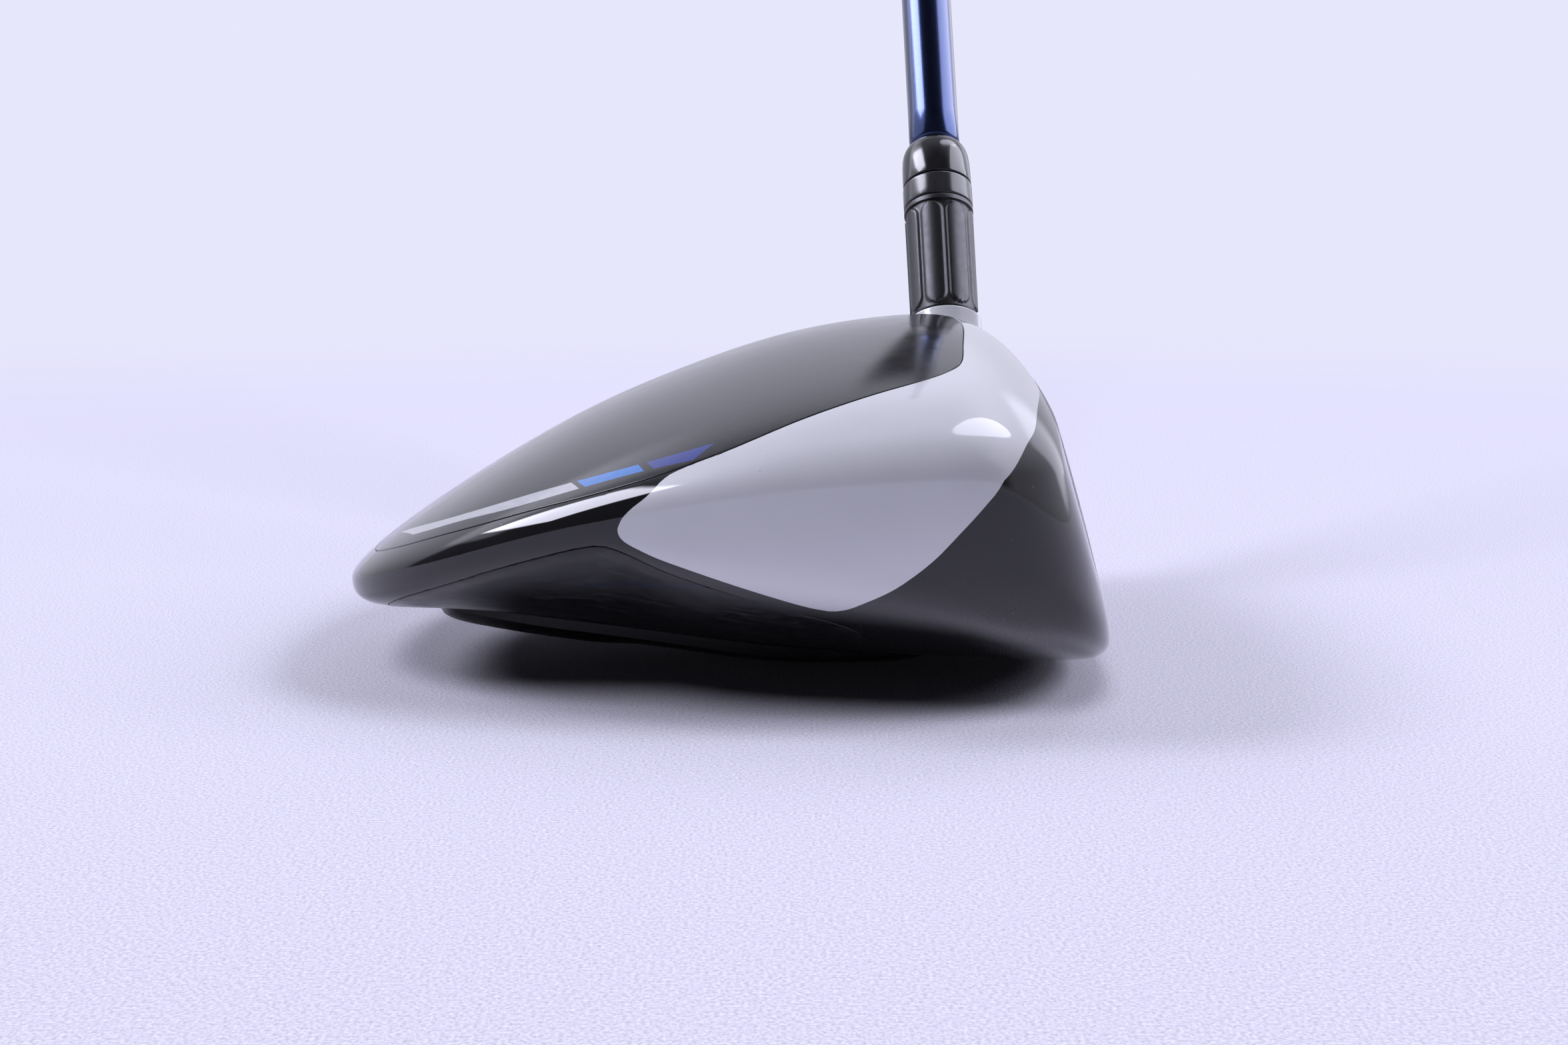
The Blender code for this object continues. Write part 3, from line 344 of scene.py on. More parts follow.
def split(p, t, edges, start):
    """The triangles after these edges (lower point first) get a new point; edge k's is start + k."""
    keys = edges[:, 0].astype(np.int64) * BIG + edges[:, 1]
    order = np.argsort(keys)
    keys = keys[order]

    def middle(a, b):
        k = np.minimum(a, b).astype(np.int64) * BIG + np.maximum(a, b)
        i = np.minimum(np.searchsorted(keys, k), len(keys) - 1)
        return np.where(keys[i] == k, start + order[i], -1)

    m = np.stack([middle(t[:, i], t[:, (i + 1) % 3]) for i in range(3)], axis=1)
    count = (m >= 0).sum(1)
    out = [t[count == 0]]
    s = np.flatnonzero(count == 1)
    r = (m[s] >= 0).argmax(1)
    a, b, c, k = t[s, r], t[s, (r + 1) % 3], t[s, (r + 2) % 3], m[s, r]
    out += [np.stack([a, k, c], 1), np.stack([k, b, c], 1)]
    s = np.flatnonzero(count == 2)
    r = ((m[s] < 0).argmax(1) + 1) % 3
    a, b, c, k, l = t[s, r], t[s, (r + 1) % 3], t[s, (r + 2) % 3], m[s, r], m[s, (r + 1) % 3]
    out.append(np.stack([k, b, l], 1))
    near = (np.linalg.norm(p[a] - p[l], axis=1) < np.linalg.norm(p[c] - p[k], axis=1))[:, None]
    out += [np.where(near, np.stack([a, k, l], 1), np.stack([a, k, c], 1)),
            np.where(near, np.stack([a, l, c], 1), np.stack([k, l, c], 1))]
    s = np.flatnonzero(count == 3)
    a, b, c, k, l, n = t[s, 0], t[s, 1], t[s, 2], m[s, 0], m[s, 1], m[s, 2]
    out += [np.stack(q, 1) for q in ((a, k, n), (k, b, l), (n, l, c), (k, l, n))]
    return np.concatenate(out)


def tangents(normal):
    a = units(np.cross(normal, [0.31, 0.52, 0.79]))
    return a, np.cross(normal, a)


def on_skin(field, p, e=0.12):
    """A field in true millimetres along the skin near its zero line, and the way it grows."""
    a, b = tangents(outward(p))
    ga, gb = ((field(p + e * d) - field(p - e * d))[:, None] / (2 * e) for d in (a, b))
    g = ga * a + gb * b
    size = np.linalg.norm(g, axis=1)
    return field(p) / np.clip(size, 0.2, 5.0), g / np.maximum(size[:, None], 1e-6)


class Skin:
    """A triangle mesh of the head's surface that can be cut along the zero lines of fields."""

    def __init__(self, size):
        self.p, self.t = skin_mesh(size)
        for least in (1.0, 0.6):
            self.refine(math.radians(5.5), least)
        self.fixed = np.zeros(len(self.p), bool)

    def refine(self, most, least):
        """Halve the edges that turn too much."""
        n, e = outward(self.p), edges_of(self.t)
        turn = np.arccos(np.clip((n[e[:, 0]] * n[e[:, 1]]).sum(1), -1, 1))
        long = np.linalg.norm(self.p[e[:, 0]] - self.p[e[:, 1]], axis=1)
        e = e[(turn > most) & (long > least)]
        new = settle(self.p[e].mean(1), 3)
        p = np.concatenate([self.p, new])
        self.p, self.t = p, split(p, self.t, e, len(self.p))

    def cut(self, field, where=None):
        """Put the line where the field is zero on the mesh's edges, there where it is wanted."""
        ok = np.ones(len(self.p), bool) if where is None else where(self.p)
        d = np.full(len(self.p), 9.0)
        d[ok] = field(self.p[ok])
        e = edges_of(self.t)
        long = np.linalg.norm(self.p[e[:, 0]] - self.p[e[:, 1]], axis=1)
        small = np.full(len(self.p), 9.0)
        for i in (0, 1):
            np.minimum.at(small, e[:, i], long)
        near = np.flatnonzero((np.abs(d) < 2.5) & ok)
        d[near] = on_skin(field, self.p[near])[0]
        pull = near[(np.abs(d[near]) < 0.3 * small[near]) & ~self.fixed[near]]
        for _ in range(2):
            if len(pull):
                off, up = on_skin(field, self.p[pull])
                self.p[pull] = settle(self.p[pull] - off[:, None] * up, 2)
        d[pull] = 0
        d[np.abs(d) < 1e-3] = 0
        self.fixed[pull] = True
        s = np.sign(d)
        e = e[(s[e[:, 0]] * s[e[:, 1]] < 0) & ok[e[:, 0]] & ok[e[:, 1]]]
        if not len(e):
            return
        w = (d[e[:, 0]] / (d[e[:, 0]] - d[e[:, 1]]))[:, None]
        new = settle(self.p[e[:, 0]] * (1 - w) + self.p[e[:, 1]] * w, 2)
        for _ in range(2):
            off, up = on_skin(field, new)
            new = settle(new - np.clip(off, -0.5, 0.5)[:, None] * up, 2)
        p = np.concatenate([self.p, new])
        self.p, self.t = p, split(p, self.t, e, len(self.p))
        self.fixed = np.concatenate([self.fixed, np.ones(len(new), bool)])

    def middles(self):
        return self.p[self.t].mean(1)


# ----------------------------------------------------- head: lines on the skin
def closed_curve(points, per=8):
    """Closed smooth curve through the points, as a dense polygon."""
    p = np.array(points, float)
    n, out = len(p), []
    for i in range(n):
        a, b, c, d = p[i - 1], p[i], p[(i + 1) % n], p[(i + 2) % n]
        for k in range(per):
            t = k / per
            out.append(0.5 * (2 * b + (c - a) * t + (2 * a - 5 * b + 4 * c - d) * t * t
                              + (3 * b - a - 3 * c + d) * t ** 3))
    return np.array(out)


def to_outline(q, outline):
    """Signed distance of 2-D points to a polygon, below zero inside."""
    best, odd = np.full(len(q), 1e9), np.zeros(len(q), bool)
    for a, b in zip(outline, np.roll(outline, -1, axis=0)):
        d = b - a
        t = np.clip(((q - a) @ d) / max(d @ d, 1e-12), 0, 1)
        best = np.minimum(best, ((q - a - t[:, None] * d) ** 2).sum(1))
        if d[1]:
            over = (a[1] > q[:, 1]) != (b[1] > q[:, 1])
            odd ^= over & (q[:, 0] < a[0] + (q[:, 1] - a[1]) / d[1] * d[0])
    return np.where(odd, -1, 1) * np.sqrt(best)


DEGREE = 0.6      # mm on the chart for each degree round the section


def degrees_round(p, side=1):
    u, v = section(p)
    return np.degrees(np.arctan2(v, -side * u))


def chart(p, side=1):
    return np.stack([p[:, 0], DEGREE * degrees_round(p, side)], axis=1)


def outline(points):
    return closed_curve([(x, DEGREE * a) for x, a in points])


CROWN_LINE, SOLE_LINE = outline(CROWN_EDGE), outline(SOLE_EDGE)
WHITE_TOE_LINE, WHITE_HEEL_LINE = outline(WHITE_TOE), outline(WHITE_HEEL)
FACE_LINE = closed_curve(FACE_EDGE)


def crown_field(p):
    return to_outline(chart(p), CROWN_LINE)


def toe_sole_field(p):
    return to_outline(chart(p), SOLE_LINE)


def heel_sole_field(p):
    return to_outline(chart(p, -1), SOLE_LINE)


def face_field(p):
    return np.where(face_side(p) > -6, to_outline(p[:, 1:], FACE_LINE), 20.0)


def rim_field(p):
    return along_hosel(p)[0] - RIM_T


def white_field(p):
    return np.minimum(to_outline(chart(p), WHITE_TOE_LINE), to_outline(chart(p, -1), WHITE_HEEL_LINE))


def well_field(p):
    t, r = along_hosel(p)
    return np.where(t < -34, r - BOLT_WELL_R, 20.0)


def slot_line(grow):
    out = []
    ys = np.linspace(SLOT_Y[0] - grow, SLOT_Y[1] + grow, 24)
    w = (SLOT_HALF + grow) * np.sqrt(np.clip(1 - (2 * (ys - ys[0]) / (ys[-1] - ys[0]) - 1) ** 12, 0, 1))
    x = SLOT_X - (ys - 2) ** 2 / (2 * BULGE)
    return np.concatenate([np.stack([x + w, ys], 1), np.stack([x - w, ys], 1)[::-1]])


SLOT_LINE = slot_line(0.0)


def slot_field(p):
    return np.where(p[:, 2] < 14, to_outline(p[:, :2], SLOT_LINE), 20.0)


stripe_up, stripe_low, accent = cubic(STRIPE_UP), cubic(STRIPE_LOW), cubic(ACCENT)


def up_field(p):
    return DEGREE * (degrees_round(p) - stripe_up(p[:, 0]))


def low_field(p):
    return DEGREE * (degrees_round(p) - stripe_low(p[:, 0]))


def in_stripe_range(p):
    return (p[:, 0] > -66) & (p[:, 0] < -13) & (p[:, 1] < 0) & (p[:, 2] > 14)


def in_band(p):
    return in_stripe_range(p) & (up_field(p) < 0.02) & (low_field(p) > -0.02)


def end_field(k):
    (x0, a0), (x1, a1) = STRIPE_ENDS[k]
    way = unit([DEGREE * (a0 - a1), x1 - x0])      # across the end line, to larger X
    way = way if way[0] > 0 else -way
    return lambda p: (chart(p) - [x0, DEGREE * a0]) @ way


def accent_field(off):
    return lambda p: DEGREE * (degrees_round(p) - accent(p[:, 0])) - off


def by_accent(p):
    return (p[:, 0] > -34.5) & (p[:, 0] < -13.5) & (p[:, 1] < -20) & (p[:, 2] < 34)


# ----------------------------------------------------------- making of objects
class Build:
    """Collects points and faces with corner normals and look numbers, then makes the object."""

    def __init__(self):
        self.p, self.f, self.n, self.m, self.count = [], [], [], [], 0

    def points(self, p):
        start = self.count
        self.p.append(np.asarray(p, float))
        self.count += len(p)
        return start

    def faces(self, f, n, look=0):
        keep = np.ones(len(f), bool)
        for i in range(f.shape[1]):
            keep &= f[:, i] != f[:, (i + 1) % f.shape[1]]
        self.f.append(f[keep])
        self.n.append(n[keep])
        self.m.append(np.broadcast_to(look, len(f))[keep])

    def make(self, name, looks):
        mesh = bpy.data.meshes.new(name)
        faces = [q for f in self.f for q in f.tolist()]
        mesh.from_pydata((np.concatenate(self.p) * MM).tolist(), [], faces)
        for look in looks:
            mesh.materials.append(look)
        mesh.polygons.foreach_set("use_smooth", np.ones(len(faces), bool))
        mesh.polygons.foreach_set("material_index", np.concatenate(self.m).astype(np.int32))
        mesh.normals_split_custom_set(np.concatenate([n.reshape(-1, 3) for n in self.n]).tolist())
        return link(name, mesh)


def link(name, mesh):
    obj = bpy.data.objects.new(name, mesh)
    bpy.context.scene.collection.objects.link(obj)
    return obj


def place(obj, body, slot, *nodes):
    """Let a piece ride on its body and stand for CAD nodes."""
    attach(obj, body)
    if nodes:
        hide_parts(*nodes)
    return obj


def border(t):
    """Edges that only one triangle uses, as they run in it, with the triangle's third point."""
    e = np.concatenate([t[:, [0, 1, 2]], t[:, [1, 2, 0]], t[:, [2, 0, 1]]])
    k = e[:, 0].astype(np.int64) * BIG + e[:, 1]
    back = e[:, 1].astype(np.int64) * BIG + e[:, 0]
    return e[~np.isin(k, back)]


def sheet(skin, mask, look, depth, inner_look, gap=0.05, bevel=0.16, sharp=None):
    """Part of the skin made into a closed sheet with rounded rims, as a Build.

    sharp says which border points keep their place, with no gap and no round."""
    used, t = np.unique(skin.t[mask], return_inverse=True)
    t = t.reshape(-1, 3)
    p = skin.p[used]
    n = outward(p)
    rim = border(t)
    a, b, c = rim.T
    along = units(p[b] - p[a])
    side = p[c] - p[a]
    side = side - (side * along).sum(1, keepdims=True) * along
    side = units(side - (side * n[a]).sum(1, keepdims=True) * n[a])
    inward = np.zeros_like(p)
    np.add.at(inward, a, side)
    np.add.at(inward, b, side)
    size = np.linalg.norm(inward, axis=1)
    inward = units(inward) * np.clip(2 / np.maximum(size, 1e-6), 1, 1.6)[:, None] * (size > 0)[:, None]
    keep = np.zeros(len(p)) if sharp is None else sharp(p).astype(float)
    g, r = gap * (1 - keep)[:, None], bevel * (1 - keep)[:, None]
    thick = depth(p)[:, None] if callable(depth) else np.full((len(p), 1), depth)

    out = Build()
    outer = p + inward * (g + r)
    on_rim = np.unique(rim[:, :2])
    outer[on_rim] = settle(outer[on_rim], 1)
    last, last_n = out.points(outer), n
    out.faces(t + last, n[t], look)
    rim_look = np.zeros(len(rim), int)
    if np.ndim(look):
        keys = {}
        for i in range(3):
            keys.update(zip((t[:, i].astype(np.int64) * BIG + t[:, (i + 1) % 3]).tolist(), look.tolist()))
        rim_look = np.array([keys[k] for k in (a.astype(np.int64) * BIG + b).tolist()])
    elif look:
        rim_look = np.full(len(rim), look)
    wall = -units(inward)
    for turn in (30, 60, 90):
        s, h = math.sin(math.radians(turn)), math.cos(math.radians(turn))
        ring_n = units(h * n + s * wall)
        ring = out.points(p + inward * (g + r * (1 - s)) - n * r * (1 - h))
        out.faces(np.stack([b + last, a + last, a + ring, b + ring], 1),
                  np.stack([last_n[b], last_n[a], ring_n[a], ring_n[b]], 1), rim_look)
        last, last_n = ring, ring_n
    inner = out.points(p + inward * g - n * thick)
    out.faces(np.stack([b + last, a + last, a + inner, b + inner], 1),
              np.stack([wall[b], wall[a], wall[a], wall[b]], 1), inner_look)
    out.faces(t[:, ::-1] + inner, -n[t[:, ::-1]], inner_look)
    return out


def frame_of(axis):
    a = unit(axis)
    x = np.array([1.0, 0, 0])
    x = unit(x - (x @ a) * a)
    return x, np.cross(a, x), a


def on_hosel(t):
    return RIM + t * HOSEL_AXIS


def on_shaft(s):
    return PIVOT + s * SHAFT_AXIS


def circle(centre, axis, radius, n):
    """Points round an axis; the radius may differ from point to point."""
    x, y, _ = frame_of(axis)
    t = 2 * math.pi * np.arange(n) / n
    return np.asarray(centre) + np.reshape(radius, (-1, 1)) * (np.cos(t)[:, None] * x + np.sin(t)[:, None] * y)


def tube(name, rings, looks, ends="loop", crease=32, ring_look=None):
    """A piece from a pile of rings: closed last to first, or capped at both ends."""
    m, n = len(rings), len(rings[0])
    points = np.concatenate(rings)
    faces, look = [], []
    for i in range(m if ends == "loop" else m - 1):
        j = (i + 1) % m
        k = np.arange(n)
        l = (k + 1) % n
        faces += np.stack([i * n + k, i * n + l, j * n + l, j * n + k], 1).tolist()
        look += [ring_look[i] if ring_look else 0] * n
    if ends == "cap":
        points = np.concatenate([points, [rings[0].mean(0), rings[-1].mean(0)]])
        for k in range(n):
            l = (k + 1) % n
            faces += [[l, k, m * n], [(m - 1) * n + k, (m - 1) * n + l, m * n + 1]]
            look += [ring_look[0] if ring_look else 0, ring_look[-1] if ring_look else 0]
    mesh = bpy.data.meshes.new(name)
    mesh.from_pydata((points * MM).tolist(), [], faces)
    for one in looks:
        mesh.materials.append(one)
    mesh.polygons.foreach_set("material_index", np.array(look, np.int32))
    if signed_volume(points, faces) < 0:
        mesh.flip_normals()
    smooth(mesh, crease)
    return link(name, mesh)


def signed_volume(points, faces):
    total = 0.0
    for size in {len(f) for f in faces}:
        f = np.array([q for q in faces if len(q) == size])
        for i in range(1, size - 1):
            a, b, c = points[f[:, 0]], points[f[:, i]], points[f[:, i + 1]]
            total += (a * np.cross(b, c)).sum()
    return total


def smooth(mesh, crease):
    mesh.polygons.foreach_set("use_smooth", np.ones(len(mesh.polygons), bool))
    mesh.set_sharp_from_angle(angle=math.radians(crease))
    mesh.update()


def lathe(name, profile, where, axis, n, looks, **more):
    """A turned piece from (along, radius) steps."""
    return tube(name, [circle(where(t), axis, r, n) for t, r in profile], looks, **more)


def arc(t0, r0, t1, r1, steps=4, hollow=False):
    """Steps of a quarter round from one place of a profile to another."""
    out = []
    for k in range(steps + 1):
        a = math.pi / 2 * k / steps
        u, v = (1 - math.cos(a), math.sin(a)) if hollow else (math.sin(a), 1 - math.cos(a))
        out.append((t0 + (t1 - t0) * u, r0 + (r1 - r0) * v))
    return out


def boolean(obj, tool, operation="DIFFERENCE", crease=32):
    """Cut one mesh with another and keep the result as the mesh."""
    m = obj.modifiers.new("cut", "BOOLEAN")
    m.operation, m.solver, m.object = operation, "EXACT", tool
    graph = bpy.context.evaluated_depsgraph_get()
    made = bpy.data.meshes.new_from_object(obj.evaluated_get(graph))
    obj.modifiers.remove(m)
    obj.data = made
    bpy.data.objects.remove(tool, do_unlink=True)
    smooth(made, crease)
    return obj


# -------------------------------------------------------------------- materials
class Look:
    """A node material round one Principled shader."""

    def __init__(self, name, **sockets):
        self.material = bpy.data.materials.new(name)
        self.material.use_nodes = True
        self.tree = self.material.node_tree
        self.shader = self.tree.nodes["Principled BSDF"]
        self.where = None
        for key, value in sockets.items():
            self.set(key.replace("_", " "), value)

    def set(self, socket, value):
        self.shader.inputs[socket].default_value = (*value, 1) if isinstance(value, tuple) else value

    def add(self, kind, inputs=None, **settings):
        node = self.tree.nodes.new(kind)
        for key, value in settings.items():
            setattr(node, key, value)
        for key, value in (inputs or {}).items():
            self.put(node.inputs[key], value)
        return node

    def put(self, socket, value):
        if isinstance(value, bpy.types.NodeSocket):
            self.tree.links.new(value, socket)
        elif isinstance(value, tuple) and len(value) == 3 and socket.type == "RGBA":
            socket.default_value = (*value, 1)
        else:
            socket.default_value = value

    def into(self, socket, value):
        self.put(self.shader.inputs[socket], value)

    def place(self, scale=(1, 1, 1), turn=(0, 0, 0)):
        """Coordinates on the piece in metres, stretched."""
        if self.where is None:
            self.where = self.add("ShaderNodeTexCoord").outputs["Object"]
        return self.add("ShaderNodeMapping", {"Vector": self.where, "Scale": scale, "Rotation": turn}).outputs["Vector"]

    def noise(self, scale, detail=2.0, rough=0.5, stretch=(1, 1, 1), turn=(0, 0, 0)):
        return self.add("ShaderNodeTexNoise", {"Vector": self.place(stretch, turn), "Scale": scale,
                                               "Detail": detail, "Roughness": rough}).outputs["Fac"]

    def spread(self, value, a, b, low=0.0, high=1.0):
        """Map a range of a value to another, held at its ends."""
        return self.add("ShaderNodeMapRange", {"Value": value, "From Min": a, "From Max": b,
                                               "To Min": low, "To Max": high}).outputs["Result"]

    def math(self, operation, *values):
        node = self.add("ShaderNodeMath", operation=operation)
        for i, value in enumerate(values):
            self.put(node.inputs[i], value)
        return node.outputs[0]

    def mix(self, factor, a, b):
        node = self.add("ShaderNodeMix", data_type="RGBA")
        for i, value in ((0, factor), (6, a), (7, b)):
            self.put(node.inputs[i], value)
        return node.outputs[2]

    def bump(self, height, depth, strength=1.0, socket="Normal", under=None):
        node = self.add("ShaderNodeBump", {"Height": height, "Distance": depth, "Strength": strength})
        if under is not None:
            self.put(node.inputs["Normal"], under)
        self.into(socket, node.outputs["Normal"])
        return node.outputs["Normal"]

    def specks(self, scale, size, rarity):
        """Sparse dots: 1 on a speck, 0 elsewhere."""
        cell = self.add("ShaderNodeTexVoronoi", {"Vector": self.place(), "Scale": scale})
        near = self.math("LESS_THAN", cell.outputs["Distance"], size)
        chosen = self.math("GREATER_THAN", self.add("ShaderNodeSeparateColor", {"Color": cell.outputs["Color"]}).outputs[0], rarity)
        return self.math("MULTIPLY", near, chosen)


def white_paint():
    k = Look("white_paint", Roughness=0.42, Coat_Weight=1.0, Coat_Roughness=0.02, Coat_IOR=1.5)
    tone = k.mix(k.spread(k.noise(90, 3), 0.35, 0.7), (0.60, 0.605, 0.617), (0.575, 0.58, 0.594))
    scuff = k.spread(k.noise(420, 4, 0.7, (1.0, 0.12, 0.5), (0.3, 0.2, 0.5)), 0.66, 0.8)
    tone = k.mix(k.math("MULTIPLY", scuff, 0.10), tone, (0.42, 0.42, 0.43))
    tone = k.mix(k.specks(260, 0.075, 0.972), tone, (0.09, 0.085, 0.09))
    tone = k.mix(k.math("MULTIPLY", k.specks(620, 0.09, 0.965), 0.55), tone, (0.3, 0.29, 0.3))
    k.into("Base Color", tone)
    k.bump(k.noise(700, 2), 0.00001, 0.25, "Coat Normal")
    return k.material


def black_gloss():
    k = Look("black_gloss", IOR=1.52)
    dust = k.math("MAXIMUM", k.specks(900, 0.11, 0.985), k.math("MULTIPLY", k.specks(330, 0.045, 0.97), 0.8))
    haze = k.spread(k.noise(55, 4, 0.62), 0.42, 0.72)
    tone = k.mix(haze, (0.0045, 0.0045, 0.0052), (0.0095, 0.0095, 0.0105))
    k.into("Base Color", k.mix(k.math("MULTIPLY", dust, 0.55), tone, (0.20, 0.20, 0.22)))
    k.into("Roughness", k.math("ADD", k.spread(k.noise(130, 4, 0.65), 0.35, 0.75, 0.015, 0.05), k.math("MULTIPLY", dust, 0.4)))
    k.bump(k.noise(420, 2), 0.000006, 0.3)
    return k.material


def crown_satin(name="crown_satin", colour=None):
    """Satin clear coat over carbon; the painted fields lie under the same coat."""
    k = Look(name, IOR=1.5)
    if colour is None:
        weave = k.math("MULTIPLY", k.add("ShaderNodeTexWave", {"Vector": k.place((1, 1, 0)), "Scale": 260.0, "Distortion": 0.4}, bands_direction="DIAGONAL").outputs["Fac"],
                       k.add("ShaderNodeTexWave", {"Vector": k.place((1, -1, 0)), "Scale": 260.0, "Distortion": 0.4}, bands_direction="DIAGONAL").outputs["Fac"])
        tone = k.mix(weave, (0.0125, 0.0125, 0.0135), (0.0185, 0.0185, 0.0195))
        dust = k.specks(700, 0.10, 0.988)
        tone = k.mix(k.math("MULTIPLY", dust, 0.35), tone, (0.16, 0.16, 0.17))
    else:
        tone = k.mix(k.spread(k.noise(900, 2), 0.3, 0.7), colour, tuple(0.9 * c for c in colour))
    k.into("Base Color", tone)
    k.into("Roughness", k.spread(k.noise(220, 4, 0.6), 0.3, 0.7, 0.10, 0.15))
    k.bump(k.noise(1500, 2), 0.000004, 0.35)
    return k.material


def sole_carbon(name="sole_carbon", colour=None):
    """Chopped carbon under clear coat: flat chips that lie every way, some paler."""
    k = Look(name, IOR=1.36)
    chip = k.add("ShaderNodeTexVoronoi", {"Vector": k.place((1.0, 2.2, 1.4), (0.4, 0.2, 0.7)), "Scale": 420.0, "Randomness": 1.0})
    small = k.add("ShaderNodeTexVoronoi", {"Vector": k.place((1.0, 0.8, 1.6), (0.1, 0.6, 0.2)), "Scale": 1300.0})
    part = k.add("ShaderNodeSeparateColor", {"Color": chip.outputs["Color"]}).outputs
    fine = k.add("ShaderNodeSeparateColor", {"Color": small.outputs["Color"]}).outputs
    pale = k.math("ADD", k.math("MULTIPLY", k.spread(part[0], 0.55, 1.0), 0.6), k.math("MULTIPLY", k.spread(fine[1], 0.8, 1.0), 0.5))
    tone = k.mix(pale, (0.0035, 0.0035, 0.004), (0.020, 0.020, 0.023))
    if colour is not None:
        tone = k.mix(0.85, tone, colour)
    tone = k.mix(k.math("MULTIPLY", k.specks(520, 0.07, 0.96), 0.7), tone, (0.13, 0.13, 0.14))
    k.into("Base Color", tone)
    k.into("Roughness", k.spread(part[1], 0.0, 1.0, 0.10, 0.24))
    k.bump(fine[2], 0.000004, 0.4)
    return k.material


def face_metal():
    k = Look("face_metal", Metallic=0.9, Anisotropic=0.5)
    brush = k.noise(900, 3, 0.6, (1.0, 0.04, 1.0))
    tone = k.mix(brush, (0.075, 0.075, 0.08), (0.14, 0.14, 0.148))
    ball = k.spread(k.noise(38, 3), 0.5, 0.75)
    k.into("Base Color", k.mix(k.math("MULTIPLY", ball, 0.35), tone, (0.17, 0.17, 0.175)))
    k.into("Roughness", k.spread(brush, 0.3, 0.7, 0.30, 0.44))
    k.bump(brush, 0.00001, 0.5)
    return k.material


def keel_plastic():
    k = Look("keel_plastic", IOR=1.3)
    scuff = k.spread(k.noise(240, 5, 0.7, (0.15, 1.0, 1.0)), 0.58, 0.8)
    k.into("Base Color", k.mix(scuff, (0.0055, 0.0055, 0.006), (0.03, 0.03, 0.032)))
    k.into("Roughness", k.math("ADD", k.spread(k.noise(500, 3), 0.3, 0.7, 0.20, 0.30), k.math("MULTIPLY", scuff, 0.25)))
    k.bump(k.noise(2200, 2), 0.000008, 0.4)
    return k.material


def metal(name, colour, low, high, grain=700, stretch=(1, 1, 1)):
    """Bare or anodised metal with a fine grain."""
    k = Look(name, Metallic=1.0)
    fine = k.noise(grain, 4, 0.65, stretch)
    k.into("Base Color", k.mix(fine, colour, tuple(0.72 * c for c in colour)))
    k.into("Roughness", k.spread(fine, 0.3, 0.7, low, high))
    k.bump(fine, 0.000006, 0.4)
    return k.material


def ferrule_gloss(name, colour, low, high):
    k = Look(name, IOR=1.52)
    wear = k.noise(300, 4, 0.6, (1, 0.3, 0.3))
    k.into("Base Color", k.mix(k.spread(wear, 0.4, 0.8), colour, tuple(1.8 * c for c in colour)))
    k.into("Roughness", k.spread(wear, 0.3, 0.7, low, high))
    k.bump(k.noise(900, 2), 0.000005, 0.3)
    return k.material


def shaft_paint():
    """Candy blue over bright metal, under a clear coat; fine flake."""
    k = Look("shaft_blue", Metallic=1.0, Coat_Weight=0.7, Coat_Roughness=0.16, Coat_IOR=1.5)
    flake = k.add("ShaderNodeTexVoronoi", {"Vector": k.place(), "Scale": 5200.0})
    part = k.add("ShaderNodeSeparateColor", {"Color": flake.outputs["Color"]}).outputs[0]
    k.into("Base Color", k.mix(part, (0.007, 0.019, 0.07), (0.011, 0.026, 0.092)))
    k.into("Roughness", k.spread(part, 0.0, 1.0, 0.19, 0.26))
    k.bump(k.noise(260, 2), 0.000008, 0.2)
    return k.material


def rubber(name, colour=(0.013, 0.013, 0.0135)):
    k = Look(name, IOR=1.45)
    cloud = k.noise(70, 4, 0.6)
    fine = k.noise(2600, 3, 0.7)
    k.into("Base Color", k.mix(k.spread(cloud, 0.35, 0.75), colour, tuple(2.1 * c for c in colour)))
    k.into("Roughness", k.spread(fine, 0.3, 0.7, 0.62, 0.82))
    k.bump(fine, 0.00003, 0.5)
    return k.material


def plain(name, colour, rough, grain=900):
    """Moulded nylon, paper or bare casting: soft mottling and a fine tooth."""
    k = Look(name)
    fine = k.noise(grain, 4, 0.6)
    k.into("Base Color", k.mix(fine, colour, tuple(0.8 * c for c in colour)))
    k.into("Roughness", k.spread(fine, 0.3, 0.7, rough - 0.06, rough + 0.08))
    k.bump(fine, 0.00002, 0.35)
    return k.material


WHITE, BLACK, CROWN = white_paint(), black_gloss(), crown_satin()
STRIPE_WHITE = crown_satin("stripe_white", (0.46, 0.46, 0.48))
STRIPE_BLUE = crown_satin("stripe_blue", (0.029, 0.185, 0.54))
STRIPE_INDIGO = crown_satin("stripe_indigo", (0.031, 0.053, 0.255))
SOLE, SOLE_BLUE = sole_carbon(), sole_carbon("sole_accent", (0.002, 0.006, 0.03))
FACE, KEEL = face_metal(), keel_plastic()
CAST = plain("bare_casting", (0.11, 0.11, 0.115), 0.55)
RESIN = plain("bare_resin", (0.02, 0.02, 0.021), 0.55)
GUNMETAL = metal("gunmetal", (0.055, 0.055, 0.058), 0.34, 0.44)
STEEL = metal("turned_steel", (0.56, 0.56, 0.57), 0.24, 0.36)
BLASTED = metal("blasted_steel", (0.40, 0.40, 0.415), 0.38, 0.5, 1500)
SILVER = metal("silver_band", (0.62, 0.62, 0.64), 0.2, 0.3)
FERRULE, FERRULE_RING = ferrule_gloss("ferrule_black", (0.006, 0.006, 0.0065), 0.10, 0.17), ferrule_gloss("ferrule_band", (0.012, 0.012, 0.013), 0.16, 0.26)
SHAFT_BLUE, CARBON_TUBE = shaft_paint(), plain("carbon_tube", (0.02, 0.02, 0.022), 0.4)
RUBBER, ELASTOMER = rubber("grip_rubber"), rubber("slot_elastomer", (0.009, 0.009, 0.0095))
